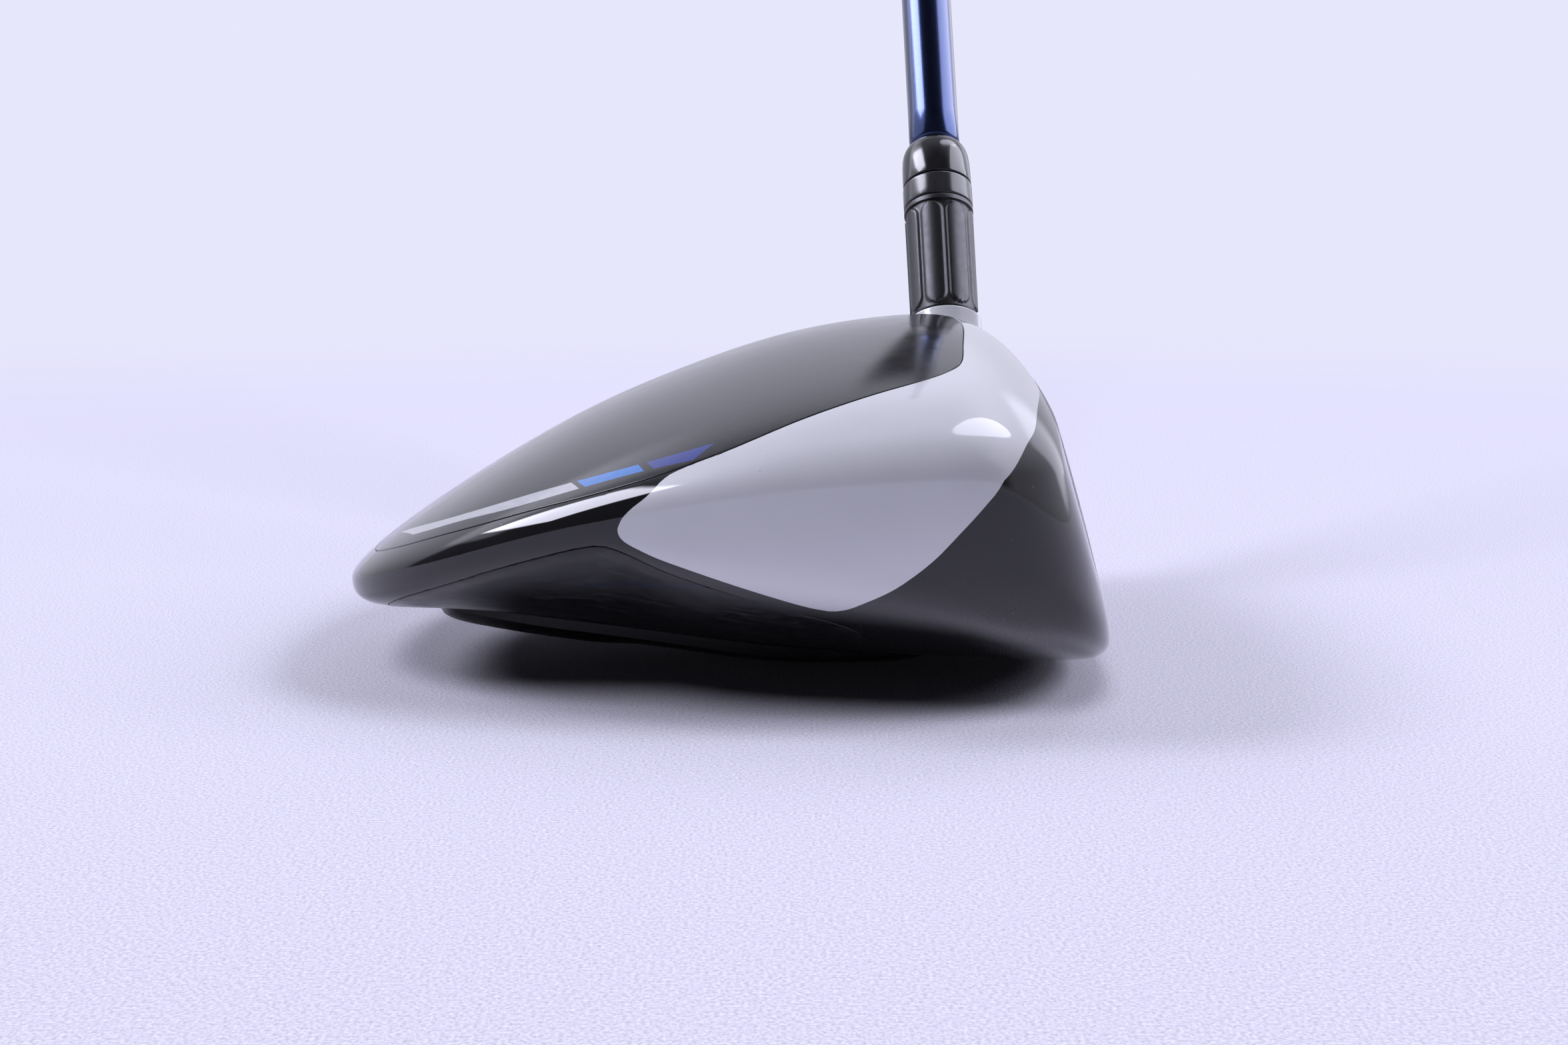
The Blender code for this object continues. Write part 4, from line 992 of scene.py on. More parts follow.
NYLON, PAPER = plain("nylon", (0.62, 0.61, 0.56), 0.5), plain("tape_paper", (0.60, 0.57, 0.48), 0.85, 1600)


# ------------------------------------------------------------------- head pieces
def build_head():
    skin = Skin(PITCH)
    skin.cut(rim_field)
    skin.cut(crown_field)
    skin.cut(toe_sole_field)
    skin.cut(heel_sole_field)
    skin.cut(face_field)
    skin.cut(slot_field, lambda p: p[:, 2] < 13)
    skin.cut(well_field, lambda p: p[:, 2] < 25)
    skin.cut(white_field, lambda p: p[:, 2] > 2)
    skin.cut(up_field, in_stripe_range)
    skin.cut(low_field, in_stripe_range)
    for k in range(len(STRIPE_ENDS)):
        skin.cut(end_field(k), in_band)
    for off in (-0.42, 0.42):
        skin.cut(accent_field(off), by_accent)

    q = skin.middles()
    below_rim = rim_field(q) < 0
    crown, toe, heel = crown_field(q) < 0, toe_sole_field(q) < 0, heel_sole_field(q) < 0
    face, slot, well = face_field(q) < 0, slot_field(q) < 0, well_field(q) < 0
    body = below_rim & ~(crown | toe | heel | face | slot | well)

    def body_depth(p):
        t, r = along_hosel(p)
        return 0.3 + 1.5 * ease(np.maximum((r - 9) / 10, (-t - 18) / 10))

    white = (white_field(q) < 0)[body]
    shell_look = np.where(white, 0, 1)
    made = sheet(skin, body, shell_look, body_depth, 2, sharp=lambda p: np.abs(rim_field(p)) < 0.05)
    place(made.make("head_shell", [WHITE, BLACK, CAST]), "head", "head_body", "head_body")

    x = chart(q)
    ends = [end_field(k)(q) for k in range(len(STRIPE_ENDS))]
    band = (up_field(q) < 0) & (low_field(q) > 0) & in_stripe_range(q)
    look = np.zeros(len(q), int)
    for number, (a, b) in enumerate(((0, 1), (2, 3), (4, 5)), 1):
        look[band & (ends[a] > 0) & (ends[b] < 0)] = number
    made = sheet(skin, crown, look[crown], 1.1, 4)
    place(made.make("crown_shell", [CROWN, STRIPE_WHITE, STRIPE_BLUE, STRIPE_INDIGO, RESIN]), "head", "crown_panel", "crown_panel")

    line = (accent_field(-0.42)(q) > 0) & (accent_field(0.42)(q) < 0) & by_accent(q)
    made = sheet(skin, toe, np.where(line, 1, 0)[toe], 1.2, 2)
    place(made.make("sole_panel_toe_shell", [SOLE, SOLE_BLUE, RESIN]), "head", "sole_panel_toe", "sole_panel_toe")
    made = sheet(skin, heel, 0, 1.2, 1)
    place(made.make("sole_panel_heel_shell", [SOLE, RESIN]), "head", "sole_panel_heel", "sole_panel_heel")
    build_face(skin, face)


def build_face(skin, mask):
    """The hitting face, with score lines near the toe and the heel."""
    used, t = np.unique(skin.t[mask], return_inverse=True)
    part = Skin.__new__(Skin)
    part.p, part.t = skin.p[used].copy(), t.reshape(-1, 3)
    part.fixed = np.zeros(len(part.p), bool)
    part.fixed[np.unique(border(part.t)[:, :2])] = True
    deep = []
    for z in np.arange(17.0, 44.0, 3.6):
        for low, high in ((-38.0 + 0.10 * abs(z - 30), -17.0), (19.0, 32.5 - 0.10 * abs(z - 28))):
            def near(p, z=z, low=low, high=high):
                return (p[:, 1] > low) & (p[:, 1] < high) & (np.abs(p[:, 2] - z) < 2.4)
            for off in (-0.32, 0.0, 0.32):
                part.cut(lambda p, z=z, off=off: p[:, 2] - z - off, near)
            deep.append((z, low, high))
    sink = np.zeros(len(part.p))
    for z, low, high in deep:
        on = (np.abs(part.p[:, 2] - z) < 0.02) & (part.p[:, 1] > low) & (part.p[:, 1] < high)
        sink[on] = 0.22
    sink[np.unique(border(part.t)[:, :2])] = 0
    made = sheet(part, np.ones(len(part.t), bool), 0, 2.4, 1, gap=0.04, bevel=0.12)
    points = made.p[0]
    points -= outward(points) * sink[:, None]
    n = np.zeros_like(points)
    f = made.f[0]
    flat = np.cross(points[f[:, 1]] - points[f[:, 0]], points[f[:, 2]] - points[f[:, 0]])
    touched = (sink[f] > 0).any(1)
    for i in range(3):
        np.add.at(n, f[:, i], flat)
    corner = made.n[0].copy()
    corner[touched] = units(flat)[touched][:, None, :]
    made.n[0] = corner
    place(made.make("face_shell", [FACE, CAST]), "head", "face_plate", "face_plate")


def spline_teeth(n, count=12, ramp=0.28):
    """0 in a groove, 1 on a tooth, round n points."""
    a = (np.arange(n) / n * count) % 1.0
    return np.clip((np.abs(a - 0.5) - 0.25 + ramp / 2) / ramp, 0, 1)


def build_hosel():
    """The rim, the splined bore, the web and the bolt well, turned in one piece."""
    n = 192
    x, y, axis = frame_of(HOSEL_AXIS)
    t = 2 * math.pi * np.arange(n) / n
    way = np.cos(t)[:, None] * x + np.sin(t)[:, None] * y
    low, high = np.full(n, 5.0), np.full(n, 12.0)
    for _ in range(30):
        mid = (low + high) / 2
        out = head(on_hosel(RIM_T) + mid[:, None] * way) > 0
        low, high = np.where(out, low, mid), np.where(out, mid, high)
    skin = (low + high) / 2
    foot_out, foot_in = [], []
    for r in (BOLT_WELL_R + 1.2, BOLT_WELL_R):
        low, high = np.full(n, -75.0), np.full(n, -45.0)
        for _ in range(30):
            mid = (low + high) / 2
            out = head(on_hosel(0) + mid[:, None] * HOSEL_AXIS + r * way) > -0.5
            low, high = np.where(out, mid, low), np.where(out, high, mid)
        foot_out.append(on_hosel(0) + low[:, None] * HOSEL_AXIS + r * way)
    teeth = spline_teeth(n)
    bore = lambda t, r: circle(on_hosel(t), HOSEL_AXIS, r, n)
    rings = [bore(RIM_T, skin), bore(-0.16, skin - 0.02), bore(-0.06, skin - 0.07), bore(0, skin - 0.18),
             bore(0, 6.55), bore(-0.07, 6.43), bore(-0.2, 6.36), bore(-0.9, 6.34), bore(-1.3, 6.3 - 0.55 * (1 - teeth)),
             bore(SPLINE_T, 6.3 - 0.55 * (1 - teeth)), bore(SPLINE_T - 0.02, 5.75), bore(-28, 5.75), bore(-28, 3.2),
             bore(-31, 3.2), bore(-31, BOLT_WELL_R), foot_out[1], foot_out[0], bore(-31, 6.2), bore(-2, 6.6), bore(RIM_T, skin - 0.3)]
    look = [0] * 6 + [1] * 14
    made = tube("hosel_bore", rings, [WHITE, CAST], ring_look=look, crease=40)
    place(made, "head", "head_body", "head_body")


keel_half, keel_low = cubic(KEEL_HALF), cubic(KEEL_LOW)
WEIGHT_AXIS = unit([float(keel_low(WEIGHT_X + 0.5) - keel_low(WEIGHT_X - 0.5)), 0, -1])
WEIGHT_FACE = np.array([WEIGHT_X, KEEL_Y, float(keel_low(WEIGHT_X))])


def on_weight(t):
    """Points on the weight's axis; positive is out of the sole."""
    return WEIGHT_FACE + t * WEIGHT_AXIS


def build_keel():
    """The fairing under the sole: flat in the middle, round at its sides and ends."""
    x0, x1 = -62.0, 21.0
    s = np.linspace(0, 1, 121)
    xs = x0 + (x1 - x0) * (s - 0.10 * np.sin(2 * math.pi * s) / (2 * math.pi))
    v = np.sin(np.linspace(-1, 1, 61) * math.pi / 2)
    gx, gv = np.meshgrid(xs, v, indexing="ij")
    y = KEEL_Y + gv * keel_half(gx)
    low = np.maximum(keel_low(gx), 0.0)
    flat = 0.72 - 0.3 * ease((np.abs(gx - WEIGHT_X) - 9.0) / 10.0)
    under = low + 2.2 * np.maximum(np.abs(gv) - flat, 0) ** 2 / (1 - flat) ** 2
    end = np.minimum(gx - x0, x1 - gx)
    under = under + 1.3 * np.maximum(1 - end / 1.5, 0) ** 2
    sole = sole_height(gx, y)
    under = np.minimum(under, sole - 0.35)
    k, m = len(xs), len(v)
    bottom = np.stack([gx, y, under], axis=-1).reshape(-1, 3)
    top = np.stack([gx, y, sole + 0.4], axis=-1).reshape(-1, 3)
    points = np.concatenate([bottom, top])
    n = k * m
    i = (np.arange(k - 1)[:, None] * m + np.arange(m - 1)).ravel()
    faces = np.stack([i, i + m, i + m + 1, i + 1], 1)[:, ::-1].tolist()
    faces += np.stack([i + n, i + m + n, i + m + 1 + n, i + 1 + n], 1).tolist()
    ring = list(range(m)) + [r * m + m - 1 for r in range(1, k)] + [(k - 1) * m + c for c in range(m - 2, -1, -1)] + [r * m for r in range(k - 2, 0, -1)]
    for a, b in zip(ring, ring[1:] + ring[:1]):
        faces.append([a, b, b + n, a + n])
    mesh = bpy.data.meshes.new("sole_fairing")
    mesh.from_pydata((points * MM).tolist(), [], faces)
    mesh.materials.append(KEEL)
    if signed_volume(points, faces) < 0:
        mesh.flip_normals()
    keel = link("sole_fairing", mesh)
    pocket = lathe("pocket_tool", [(-20, WEIGHT_R + 0.3), (-0.35, WEIGHT_R + 0.3), (0.15, WEIGHT_R + 0.8), (6, WEIGHT_R + 0.8)],
                   on_weight, WEIGHT_AXIS, 128, [KEEL], ends="cap")
    boolean(keel, pocket, crease=38)
    place(keel, "head", "sole_keel", "sole_keel")


def build_slot():
    """The elastomer strip in the slot, with two ribs along it."""
    ys = np.linspace(SLOT_Y[0] + 0.12, SLOT_Y[1] - 0.12, 70)
    u = np.linspace(-1, 1, 25)
    gy, gu = np.meshgrid(ys, u, indexing="ij")
    w = (SLOT_HALF - 0.1) * np.sqrt(np.clip(1 - (2 * (gy - ys[0]) / (ys[-1] - ys[0]) - 1) ** 12, 0.02, 1))
    x = SLOT_X - (gy - 2) ** 2 / (2 * BULGE) + gu * w
    z = sole_height(x, gy) + 0.28 - 0.14 * np.cos(gu * 2.5 * math.pi) ** 2 + 0.35 * np.abs(gu) ** 8
    k, m = gy.shape
    n = k * m
    points = np.concatenate([np.stack([x, gy, z], -1).reshape(-1, 3), np.stack([x, gy, z + 1.7], -1).reshape(-1, 3)])
    i = (np.arange(k - 1)[:, None] * m + np.arange(m - 1)).ravel()
    faces = np.stack([i, i + m, i + m + 1, i + 1], 1).tolist()
    faces += np.stack([i + n, i + m + n, i + m + 1 + n, i + 1 + n], 1)[:, ::-1].tolist()
    ring = list(range(m)) + [r * m + m - 1 for r in range(1, k)] + [(k - 1) * m + c for c in range(m - 2, -1, -1)] + [r * m for r in range(k - 2, 0, -1)]
    for a, b in zip(ring, ring[1:] + ring[:1]):
        faces.append([b, a, a + n, b + n])
    mesh = bpy.data.meshes.new("slot_strip")
    mesh.from_pydata((points * MM).tolist(), [], faces)
    mesh.materials.append(ELASTOMER)
    if signed_volume(points, faces) < 0:
        mesh.flip_normals()
    smooth(mesh, 40)
    place(link("slot_strip", mesh), "head", "slot_insert", "slot_insert")


def key_recess(name, where, axis, r, top, bottom, look):
    """A six-lobed key recess as a cutting body."""
    n = 96
    a = 2 * math.pi * np.arange(n) / n
    lobe = r * (0.87 + 0.13 * np.cos(6 * a))
    rings = [circle(where(top), axis, lobe, n), circle(where(bottom), axis, lobe, n)]
    return tube(name, rings, [look], ends="cap")


def build_weight():
    disc = [(-0.32, 4.45), (-0.32, 5.6)] + arc(-0.32, 5.6, -0.55, 5.8, 3) + [(-0.55, 6.3)] + arc(-0.55, 6.3, -0.32, 6.5, 3, True)
    disc += [(-0.32, 7.9)] + arc(-0.32, 7.9, -0.95, WEIGHT_R, 5)[1:] + [(-2.9, WEIGHT_R), (-3.0, WEIGHT_R - 0.15), (-3.0, 2.9), (-2.35, 2.9), (-2.35, 4.35), (-0.45, 4.35)]
    weight = lathe("weight_disc", disc, on_weight, WEIGHT_AXIS, 128, [BLASTED])
    for k in (0, 1):
        x, y, _ = frame_of(WEIGHT_AXIS)
        off = (6.9 if k else -6.9) * y
        tool = lathe("pin_tool", [(1.0, 0.75), (-1.1, 0.75), (-1.5, 0.05)], lambda t, off=off: on_weight(t) + off, WEIGHT_AXIS, 32, [BLASTED], ends="cap")
        boolean(weight, tool)
    place(weight, "head", "rear_weight", "rear_weight")
    screw = [(-0.45, 2.6), (-0.28, 2.85), (-0.28, 3.45)] + arc(-0.28, 3.45, -0.7, 4.1, 4)[1:] + [(-2.0, 4.1), (-2.2, 3.8), (-2.2, 2.35)]
    for k in range(18):
        screw += [(-2.6 - 0.5 * k, 2.35), (-2.85 - 0.5 * k, 2.1)]
    screw += [(-11.7, 2.2), (-12.1, 1.8)]
    made = lathe("weight_screw_turned", screw, on_weight, WEIGHT_AXIS, 72, [STEEL], ends="cap", crease=28)
    boolean(made, key_recess("key_tool", on_weight, WEIGHT_AXIS, 2.0, 1.0, -1.9, STEEL))
    place(made, "weight_screw", "weight_screw", "weight_screw")


def build_bolt():
    bolt = [(-17.2, 1.9), (-17.7, 2.3)]
    for k in range(20):
        bolt += [(-18.1 - 0.5 * k, 2.4), (-18.35 - 0.5 * k, 2.12)]
    bolt += [(-28.4, 2.3), (-32.65, 2.3), (-32.75, 3.9)] + [(-32.95, 4.08), (-37.2, 4.08)] + arc(-37.2, 4.08, -37.85, 3.5, 4, True)[1:] + [(-37.9, 3.2)]
    made = lathe("hosel_bolt_turned", bolt, on_hosel, HOSEL_AXIS, 72, [STEEL], ends="cap", crease=28)
    boolean(made, key_recess("key_tool", on_hosel, HOSEL_AXIS, 2.3, -35.0, -40.0, STEEL))
    place(made, "hosel_bolt", "hosel_bolt", "hosel_bolt")


# ------------------------------------------------------------ sleeve and shaft
FLUTES, FLUTE_AT = 8, math.radians(-86.0)


def flute_depth(t, radius, n, low=1.35, high=23.4):
    """How far the sleeve is cut back between its pads, round n points at a height."""
    a = 2 * math.pi * np.arange(n) / n
    pitch = 2 * math.pi / FLUTES
    off = np.abs((a - FLUTE_AT) % pitch - pitch / 2) * radius      # from the middle of a pad
    half = pitch / 2 * radius - 0.42
    end = np.clip(min(t - low, high - t), 0, None)
    r = 2.15
    wide = half if end >= r else half - r + math.sqrt(max(2 * r * end - end * end, 0))
    inside = wide - off if low < t < high else np.full(n, -1.0)
    cut = ease(0.5 - inside / 0.75)
    flat = 0.16 * (off / (pitch / 2 * radius)) ** 2
    return 0.42 * cut + flat * (1 - cut)


def build_sleeve():
    n = 256
    bore = lambda t, r: circle(on_hosel(t), HOSEL_AXIS, r, n)
    teeth = spline_teeth(n)
    rings = [bore(-26.6, 4.4), bore(-26.5, 4.7), bore(-26.0, 5.2), bore(-25.6, 5.3), bore(-9.4, 5.3),
             bore(-9.3, 5.3 + 0.1 * teeth), bore(-8.8, 5.3 + 0.6 * teeth), bore(-1.4, 5.3 + 0.6 * teeth), bore(-0.9, 5.3 + 0.1 * teeth),
             bore(-0.8, 5.3), bore(0.35, 5.3), bore(0.35, 6.25), bore(0.42, 6.42), bore(0.6, 6.5)]
    for t in np.linspace(0.8, 23.8, 78):
        r = 6.55 + 0.2 * (t / 24.1)
        rings.append(bore(t, r - flute_depth(t, r, n)))
    rings += [bore(24.0, 6.76), bore(24.7, 6.76), bore(24.95, 6.7), bore(25.05, 6.56), bore(25.05, 4.8),
              bore(-13.2, 4.8), bore(-13.2, 2.75), bore(-26.6, 2.75)]
    made = tube("sleeve_turned", rings, [GUNMETAL], crease=30)
    place(made, "shaft_assembly", "loft_sleeve", "loft_sleeve")

    def swap(t):
        """Ring centres that pass from the hosel's line to the shaft's."""
        w = float(ease((t - 30.2) / 9.0))
        return on_hosel(t) * (1 - w) + on_shaft((t - 6.0) * math.cos(SLEEVE_CANT)) * w

    def sheath(name, steps, bore_r, look):
        rings = [circle(swap(t), HOSEL_AXIS, r, 128) for t, r in steps]
        ends = (steps[-1][0], steps[0][0])
        rings += [circle(on_shaft((t - 6.0) * math.cos(SLEEVE_CANT)), HOSEL_AXIS, bore_r, 128) for t in ends]
        return tube(name, rings, [look], crease=30)

    band = [(25.25, 6.45)] + arc(25.25, 6.5, 25.6, 6.78, 4, True)[1:] + [(26.5, 6.8), (29.3, 6.8)] + arc(29.7, 6.78, 30.05, 6.5, 4)
    place(sheath("ferrule_band", band, 4.75, FERRULE_RING), "shaft_assembly", "ferrule_ring", "ferrule_ring")
    cone = [(30.35, 6.45)] + arc(30.35, 6.5, 30.65, 6.72, 4, True)[1:] + [(32.0, 6.74), (34.0, 6.72), (35.6, 6.66), (36.8, 6.55), (37.7, 6.38),
            (38.4, 6.14), (38.95, 5.87), (39.4, 5.58), (39.75, 5.32), (39.9, 5.15)]
    place(sheath("ferrule_cone", cone, 4.72, FERRULE), "shaft_assembly", "ferrule", "ferrule")


def shaft_r(s):
    """Outside radius of the shaft: a slim tip for the sleeve, then a step just above the ferrule."""
    tip = SHAFT_TIP_R + 0.1 * min(max(s - 20.0, 0.0) / 14.3, 1.0)
    if s <= 34.3:
        return tip
    if s <= 35.1:
        return tip + (SHAFT_LOW_R - tip) * (s - 34.3) / 0.8
    return SHAFT_LOW_R + (SHAFT_BUTT_R - SHAFT_LOW_R) * (s - 35.1) / (BUTT_S - 41.6)


def build_shaft():
    end = BUTT_S - 6.5
    low = BUTT_S - 5.4 - GRIP_LENGTH
    stops = [-17.5, 0.0, 20.0, 34.3, 34.5, 34.7, 35.1, 41.0] + list(np.arange(70, low - 60, 30.0))
    bands = [(low - 52, 0), (low - 46, 1), (low - 44.4, 0), (low - 42, 1), (low - 41.4, 0), (low - 39, 1), (low - 37.4, 0)]
    stops = [s for s in stops if s < low - 55] + [b[0] for b in bands] + [low - 20, low + 20] + list(np.arange(low + 60, end - 20, 40)) + [end]
    lit = dict(bands)
    rings, look, state = [], [], 0
    for s in stops:
        state = lit.get(s, state)
        rings.append(circle(on_shaft(s), SHAFT_AXIS, shaft_r(s), 96))
        look.append(state)
    for s in (end, end - 60, 400.0, -17.5):
        rings.append(circle(on_shaft(s), SHAFT_AXIS, shaft_r(s) - 1.2, 96))
        look.append(2)
    look[len(stops) - 1] = 2
    made = tube("shaft_tube", rings, [SHAFT_BLUE, SILVER, CARBON_TUBE], ring_look=look, crease=40)
    place(made, "shaft_assembly", "shaft", "shaft")


def build_grip():
    """Rubber grip: lozenge grooves between plain bands, ribs at the mouth."""
    top = BUTT_S - 5.4
    low = top - GRIP_LENGTH
    base = cubic([(0, 8.9), (2.0, 9.2), (60, 9.75), (150, 10.9), (216, 12.5), (254, 13.5), (263, 14.25), (266, 14.5)])
    n, rows = 96, 334
    step = GRIP_LENGTH / (rows - 1)
    i = np.arange(n)
    rings = []
    for j in range(rows):
        s = j * step
        r = np.full(n, float(base(s)))
        plain_band = s < 20 or s > 252 or 96 < s < 101 or 176 < s < 181
        if plain_band:
            for at in (4.0, 8.0, 12.0, 16.0, 96.8, 100.2, 176.8, 180.2, 254.0):
                r -= 0.45 * max(0.0, 1 - abs(s - at) / 0.9)
        else:
            fade = float(ease(min(abs(s - e) for e in (20, 96, 101, 176, 181, 252)) / 4.0))
            for k in (i + j, i - j):
                d = np.minimum(k % 12, (-k) % 12)
                r -= 0.55 * fade * np.maximum(0, 1 - d / 1.0)
            dot = ((i + j) % 12 == 6) & ((i - j) % 12 == 6)
            r -= 0.4 * fade * dot
        if j == 0:
            r -= 0.25
        rings.append(circle(on_shaft(low + s), SHAFT_AXIS, r, n))
    rings += [circle(on_shaft(top), SHAFT_AXIS, 8.7, n), circle(on_shaft(low), SHAFT_AXIS, shaft_r(low) + 0.75, n)]
    made = tube("grip_moulded", rings, [RUBBER], crease=28)
    place(made, "shaft_assembly", "grip", "grip")
    stem = SHAFT_BUTT_R - 1.6
    cap = arc(top + 0.3, 14.2, top + 0.75, 14.5, 3, True) + [(top + 3.2, 14.5)] + arc(top + 3.2, 14.5, BUTT_S - 0.25, 12.9, 6)[1:]
    cap += [(BUTT_S - 0.02, 12.4), (BUTT_S - 0.02, 10.4), (BUTT_S - 0.5, 10.0), (BUTT_S - 0.5, 9.4), (BUTT_S - 0.02, 9.0),
            (BUTT_S - 0.02, 2.2), (BUTT_S - 0.3, 1.75), (BUTT_S - 0.8, 1.6), (top - 9.0, 1.6), (top - 9.0, stem - 0.5), (top - 8.2, stem), (top + 0.3, stem)]
    made = lathe("grip_end_cap", cap, on_shaft, SHAFT_AXIS, 96, [RUBBER], crease=30)
    place(made, "shaft_assembly", "grip_cap", "grip_cap")


build_head()
build_hosel()
build_keel()
build_slot()
build_weight()
build_bolt()
build_sleeve()
build_shaft()
build_grip()
for name, look in (("tip_plug", NYLON), ("grip_tape", PAPER), ("bolt_keeper", NYLON), ("bolt_washer", STEEL)):
    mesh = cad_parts[name].data
    mesh.materials.clear()
    mesh.materials.append(look)


# ----------------------------------------------------------------------- studio
BACKDROP = (0.800, 0.800, 0.965)
TINT = (0.945, 0.945, 1.125)


def build_floor():
    """A round pale sheet whose edge passes into the backdrop; its colour holds painted shade, darker towards the front,
    the camera side.
    """
    n, rows = 96, [0.0, 0.12, 0.25, 0.4, 0.55, 0.8, 1.2]
    points = [(0, 0, 0)]
    faces = []
    for r in rows[1:]:
        points += [(r * math.cos(2 * math.pi * k / n), r * math.sin(2 * math.pi * k / n), 0) for k in range(n)]
    for k in range(n):
        l = (k + 1) % n
        faces.append((0, 1 + k, 1 + l))
        for i in range(len(rows) - 2):
            a, b = 1 + i * n, 1 + (i + 1) * n
            faces.append((a + k, b + k, b + l, a + l))
    mesh = bpy.data.meshes.new("floor")
    mesh.from_pydata(points, [], faces)
    floor = link("floor", mesh)
    k = Look("floor_sheet", Roughness=0.6)
    k.set("Specular IOR Level", 0.0)
    grain = k.noise(2300, 2, 0.6)
    fine = k.spread(grain, 0.3, 0.7)
    # painted shade: the sheet's colour darkens towards -Y, the camera side, standing in for less light falling there
    front = k.spread(k.add("ShaderNodeSeparateXYZ", {0: k.place()}).outputs["Y"], -0.04, -0.22)
    k.into("Base Color", k.mix(front, k.mix(fine, (0.1535, 0.150, 0.1655), (0.098, 0.0964, 0.1063)),
                               k.mix(fine, (0.1435, 0.140, 0.1555), (0.0918, 0.090, 0.0995))))
    far = k.add("ShaderNodeVectorMath", {0: k.place()}, operation="LENGTH").outputs["Value"]
    near = k.add("ShaderNodeMapRange", {"Value": far, "From Min": 0.16, "From Max": 0.34, "To Min": 1.0, "To Max": 0.0}).outputs["Result"]
    k.bump(k.math("MULTIPLY", grain, near), 0.0002, 0.3)
    clear = k.add("ShaderNodeEmission", {"Color": (*BACKDROP, 1)})
    fade = k.add("ShaderNodeMixShader")
    k.put(fade.inputs[0], k.add("ShaderNodeMapRange", {"Value": far, "From Min": 0.30, "From Max": 1.18}, interpolation_type="SMOOTHERSTEP").outputs["Result"])
    k.tree.links.new(k.shader.outputs[0], fade.inputs[1])
    k.tree.links.new(clear.outputs[0], fade.inputs[2])
    k.tree.links.new(fade.outputs[0], k.tree.nodes["Material Output"].inputs["Surface"])
    mesh.materials.append(k.material)
    floor.location.z = -0.0002
    return floor


def lamp(name, way, strength, wide, only):
    """A far round lamp that lights the pieces in a collection; way points to it."""
    data = bpy.data.lights.new(name, "SUN")
    data.energy, data.angle, data.color = strength, math.radians(wide), TINT
    made = bpy.data.objects.new(name, data)
    made.rotation_euler = Vector(way).to_track_quat("Z", "Y").to_euler()
    bpy.context.scene.collection.objects.link(made)
    made.light_linking.receiver_collection = only
    return made


def build_lamps(floor):
    """Four lamps over the front half and a weak fill for the floor, and a wide one on each side for the shaft."""
    only = bpy.data.collections.new("floor_light")
    only.objects.link(floor)
    for way, strength, wide in (((-0.2, -1.1, 1.0), 8.0, 17), ((-1.2, -0.35, 1.0), 5.8, 18),
                                ((1.0, -0.7, 1.0), 8.2, 20), ((2.0, -0.5, 1.0), 3.0, 18)):
        lamp("floor_lamp", way, strength, wide, only)
    lamp("floor_fill", (0.0, 0.0, 1.0), 1.2, 60, only).light_linking.blocker_collection = only
    tall = bpy.data.collections.new("shaft_light")
    for name in ("shaft_tube", "ferrule_cone", "ferrule_band", "sleeve_turned"):
        tall.objects.link(bpy.data.objects[name])
    for side, strength in ((-1, 1.4), (1, 4.2)):
        lamp("side_lamp", (0.895 * side, 0.03, 0.445), strength * 0.88, 64, tall)


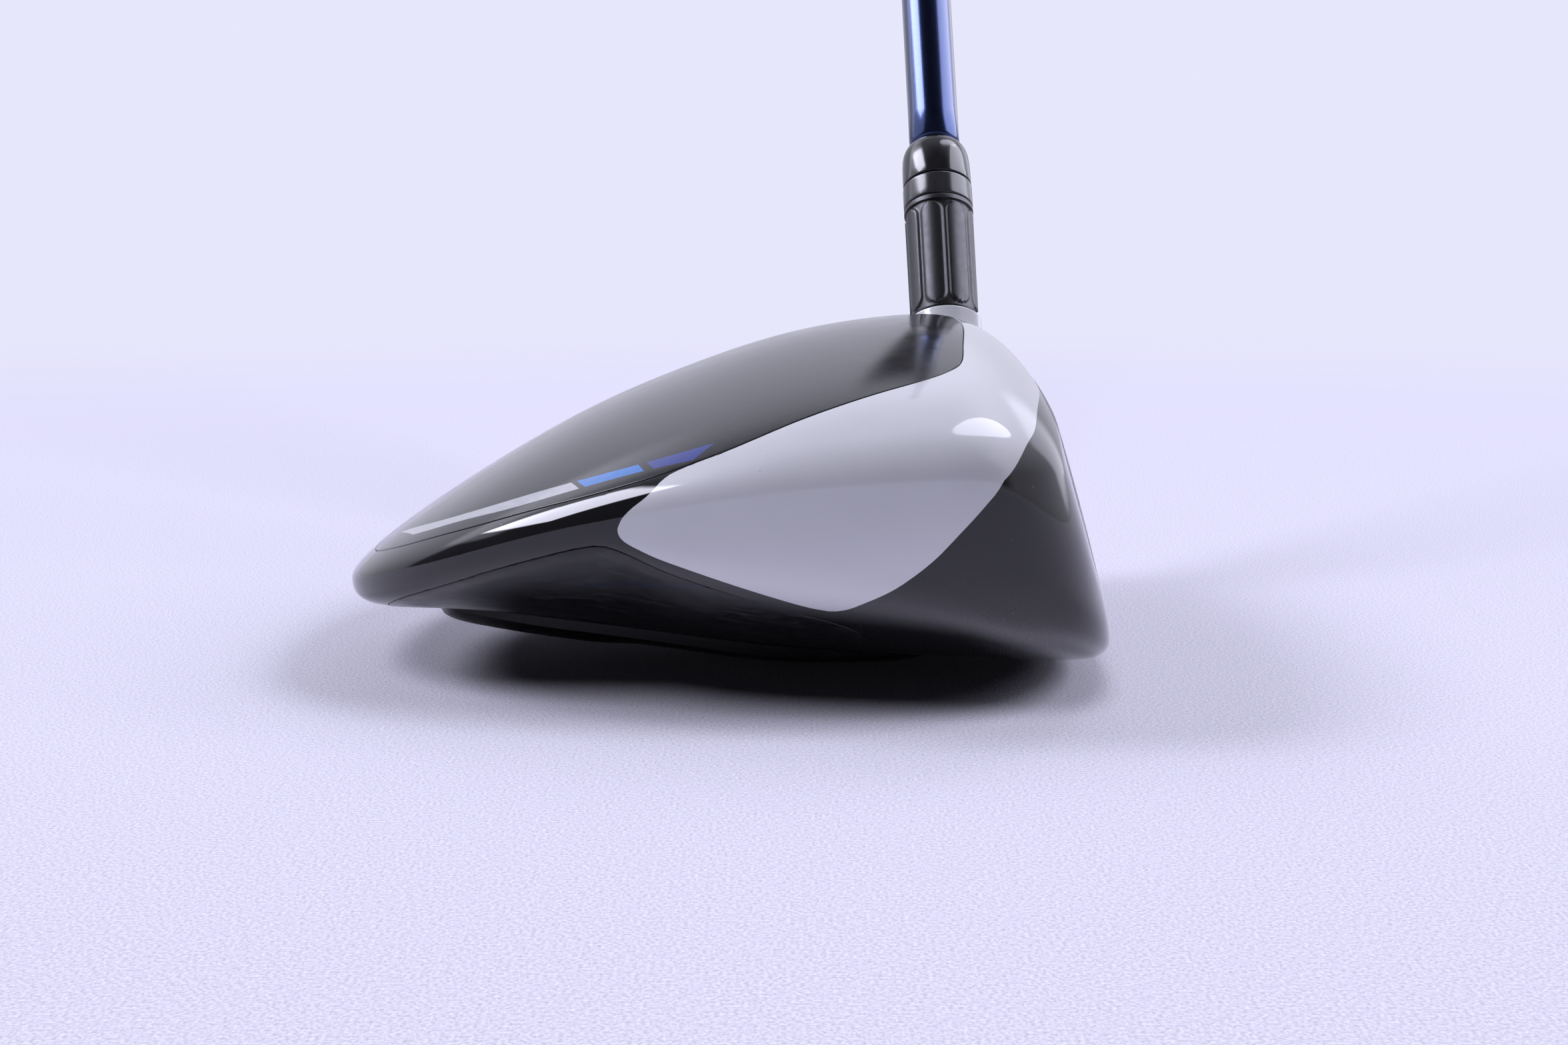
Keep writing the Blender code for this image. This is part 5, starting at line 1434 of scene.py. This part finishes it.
def build_light():
    """Soft boxes to the left and right overhead, a pale sweep behind, a dim room in front."""
    world = bpy.data.worlds.new("studio")
    bpy.context.scene.world = world
    world.use_nodes = True
    tree = world.node_tree
    tree.nodes.clear()

    def add(kind, inputs=None, **settings):
        node = tree.nodes.new(kind)
        for key, value in settings.items():
            setattr(node, key, value)
        for key, value in (inputs or {}).items():
            if isinstance(value, bpy.types.NodeSocket):
                tree.links.new(value, node.inputs[key])
            else:
                node.inputs[key].default_value = value
        return node

    def m(operation, *values):
        return add("ShaderNodeMath", dict(enumerate(values)), operation=operation).outputs[0]

    def step(value, a, b, low=0.0, high=1.0):
        return add("ShaderNodeMapRange", {"Value": value, "From Min": a, "From Max": b, "To Min": low, "To Max": high},
                   interpolation_type="SMOOTHSTEP").outputs["Result"]

    def blend(f, a, b):
        return m("ADD", m("MULTIPLY", a, m("SUBTRACT", 1.0, f)), m("MULTIPLY", b, f))

    way = add("ShaderNodeSeparateXYZ", {0: add("ShaderNodeTexCoord").outputs["Generated"]})
    x, y, z = way.outputs
    up = m("MAXIMUM", z, 0.04)
    px, py = m("DIVIDE", x, up), m("DIVIDE", y, up)
    flat = m("MAXIMUM", m("SQRT", m("ADD", m("MULTIPLY", x, x), m("MULTIPLY", y, y))), 0.001)
    ahead, aside = m("DIVIDE", y, flat), m("DIVIDE", x, flat)

    def panel(x0, x1, y0, y1, soft):
        f = m("MULTIPLY", step(px, x0 - soft, x0 + soft), step(px, x1 + soft, x1 - soft))
        return m("MULTIPLY", f, m("MULTIPLY", step(py, y0 - soft, y0 + soft), step(py, y1 + soft, y1 - soft)))

    def both(*values):
        f = values[0]
        for value in values[1:]:
            f = m("MULTIPLY", f, value)
        return f

    above = step(z, 0.02, 0.06)
    # walls: pale behind and to the right, dark to the left and in front
    rise = m("ADD", 0.74, step(z, 0.20, 0.70, 0.0, 0.45))
    left, right = blend(step(m("SUBTRACT", ahead, m("MULTIPLY", z, 0.5)), 0.18, 0.30), 0.10, rise), blend(step(ahead, -0.6, -0.35), 0.10, rise)
    wall = blend(step(aside, -0.15, 0.15), left, right)
    wall = m("ADD", wall, both(step(aside, 0.42, 0.52), step(aside, 0.80, 0.72), step(ahead, 0.0, 0.2), step(z, 0.5, 0.4)))
    ceiling = blend(step(y, -0.25, 0.10), 0.05, 0.55)
    light = blend(step(z, 0.70, 0.92), wall, ceiling)
    # dark stand behind: a thin strip that leans to the right as it goes back
    off = m("SUBTRACT", px, m("SUBTRACT", m("MULTIPLY", py, 0.104), 0.177))
    stand = both(step(off, -0.065, -0.025), step(off, 0.105, 0.065), step(py, 0.9, 1.5, 0.0, 0.93))
    light = m("MULTIPLY", light, m("SUBTRACT", 1.0, stand))
    # left box: a quadrilateral, with a pale wing above it
    box = both(step(px, -1.46, -1.38), step(px, -0.67, -0.73), step(py, -0.31, -0.24),
               step(m("ADD", py, m("MULTIPLY", px, 0.9)), -0.40, -0.50))
    wing = panel(-1.75, -0.60, 0.30, 1.30, 0.16)
    # small oval lamp high on the right
    dx, dy = m("SUBTRACT", px, 0.578), m("SUBTRACT", py, 0.41)
    along = m("DIVIDE", m("ADD", m("MULTIPLY", dx, 0.743), m("MULTIPLY", dy, 0.669)), 0.55)
    across = m("DIVIDE", m("SUBTRACT", m("MULTIPLY", dy, 0.743), m("MULTIPLY", dx, 0.669)), 0.17)
    oval = step(m("ADD", m("MULTIPLY", along, along), m("MULTIPLY", across, across)), 1.08, 0.86)
    for shape, strength in ((box, 14.0), (wing, 1.0), (oval, 4.6)):
        light = m("ADD", light, both(above, shape, strength))
    light = blend(step(z, -0.03, 0.01), 0.66, light)
    lit = add("ShaderNodeBackground", {"Color": (*TINT, 1), "Strength": light})
    seen = add("ShaderNodeBackground", {"Color": (*BACKDROP, 1), "Strength": 1.0})
    pick = add("ShaderNodeMixShader", {0: add("ShaderNodeLightPath").outputs["Is Camera Ray"], 1: lit.outputs[0], 2: seen.outputs[0]})
    out = add("ShaderNodeOutputWorld", {"Surface": pick.outputs[0]})


def build_camera():
    data = bpy.data.cameras.new("camera")
    data.sensor_width = 36.0
    data.lens = 36.0 * 2800 / 2352
    data.clip_start, data.clip_end = 0.01, 50.0
    camera = bpy.data.objects.new("camera", data)
    camera.location = (-0.005, -0.301, 0.070)
    camera.rotation_euler = (math.radians(90 - 9.0), 0, 0)
    bpy.context.scene.collection.objects.link(camera)
    bpy.context.scene.camera = camera


build_lamps(build_floor())
build_light()
build_camera()
bpy.context.scene.view_settings.view_transform = "Standard"
bpy.context.view_layer.update()
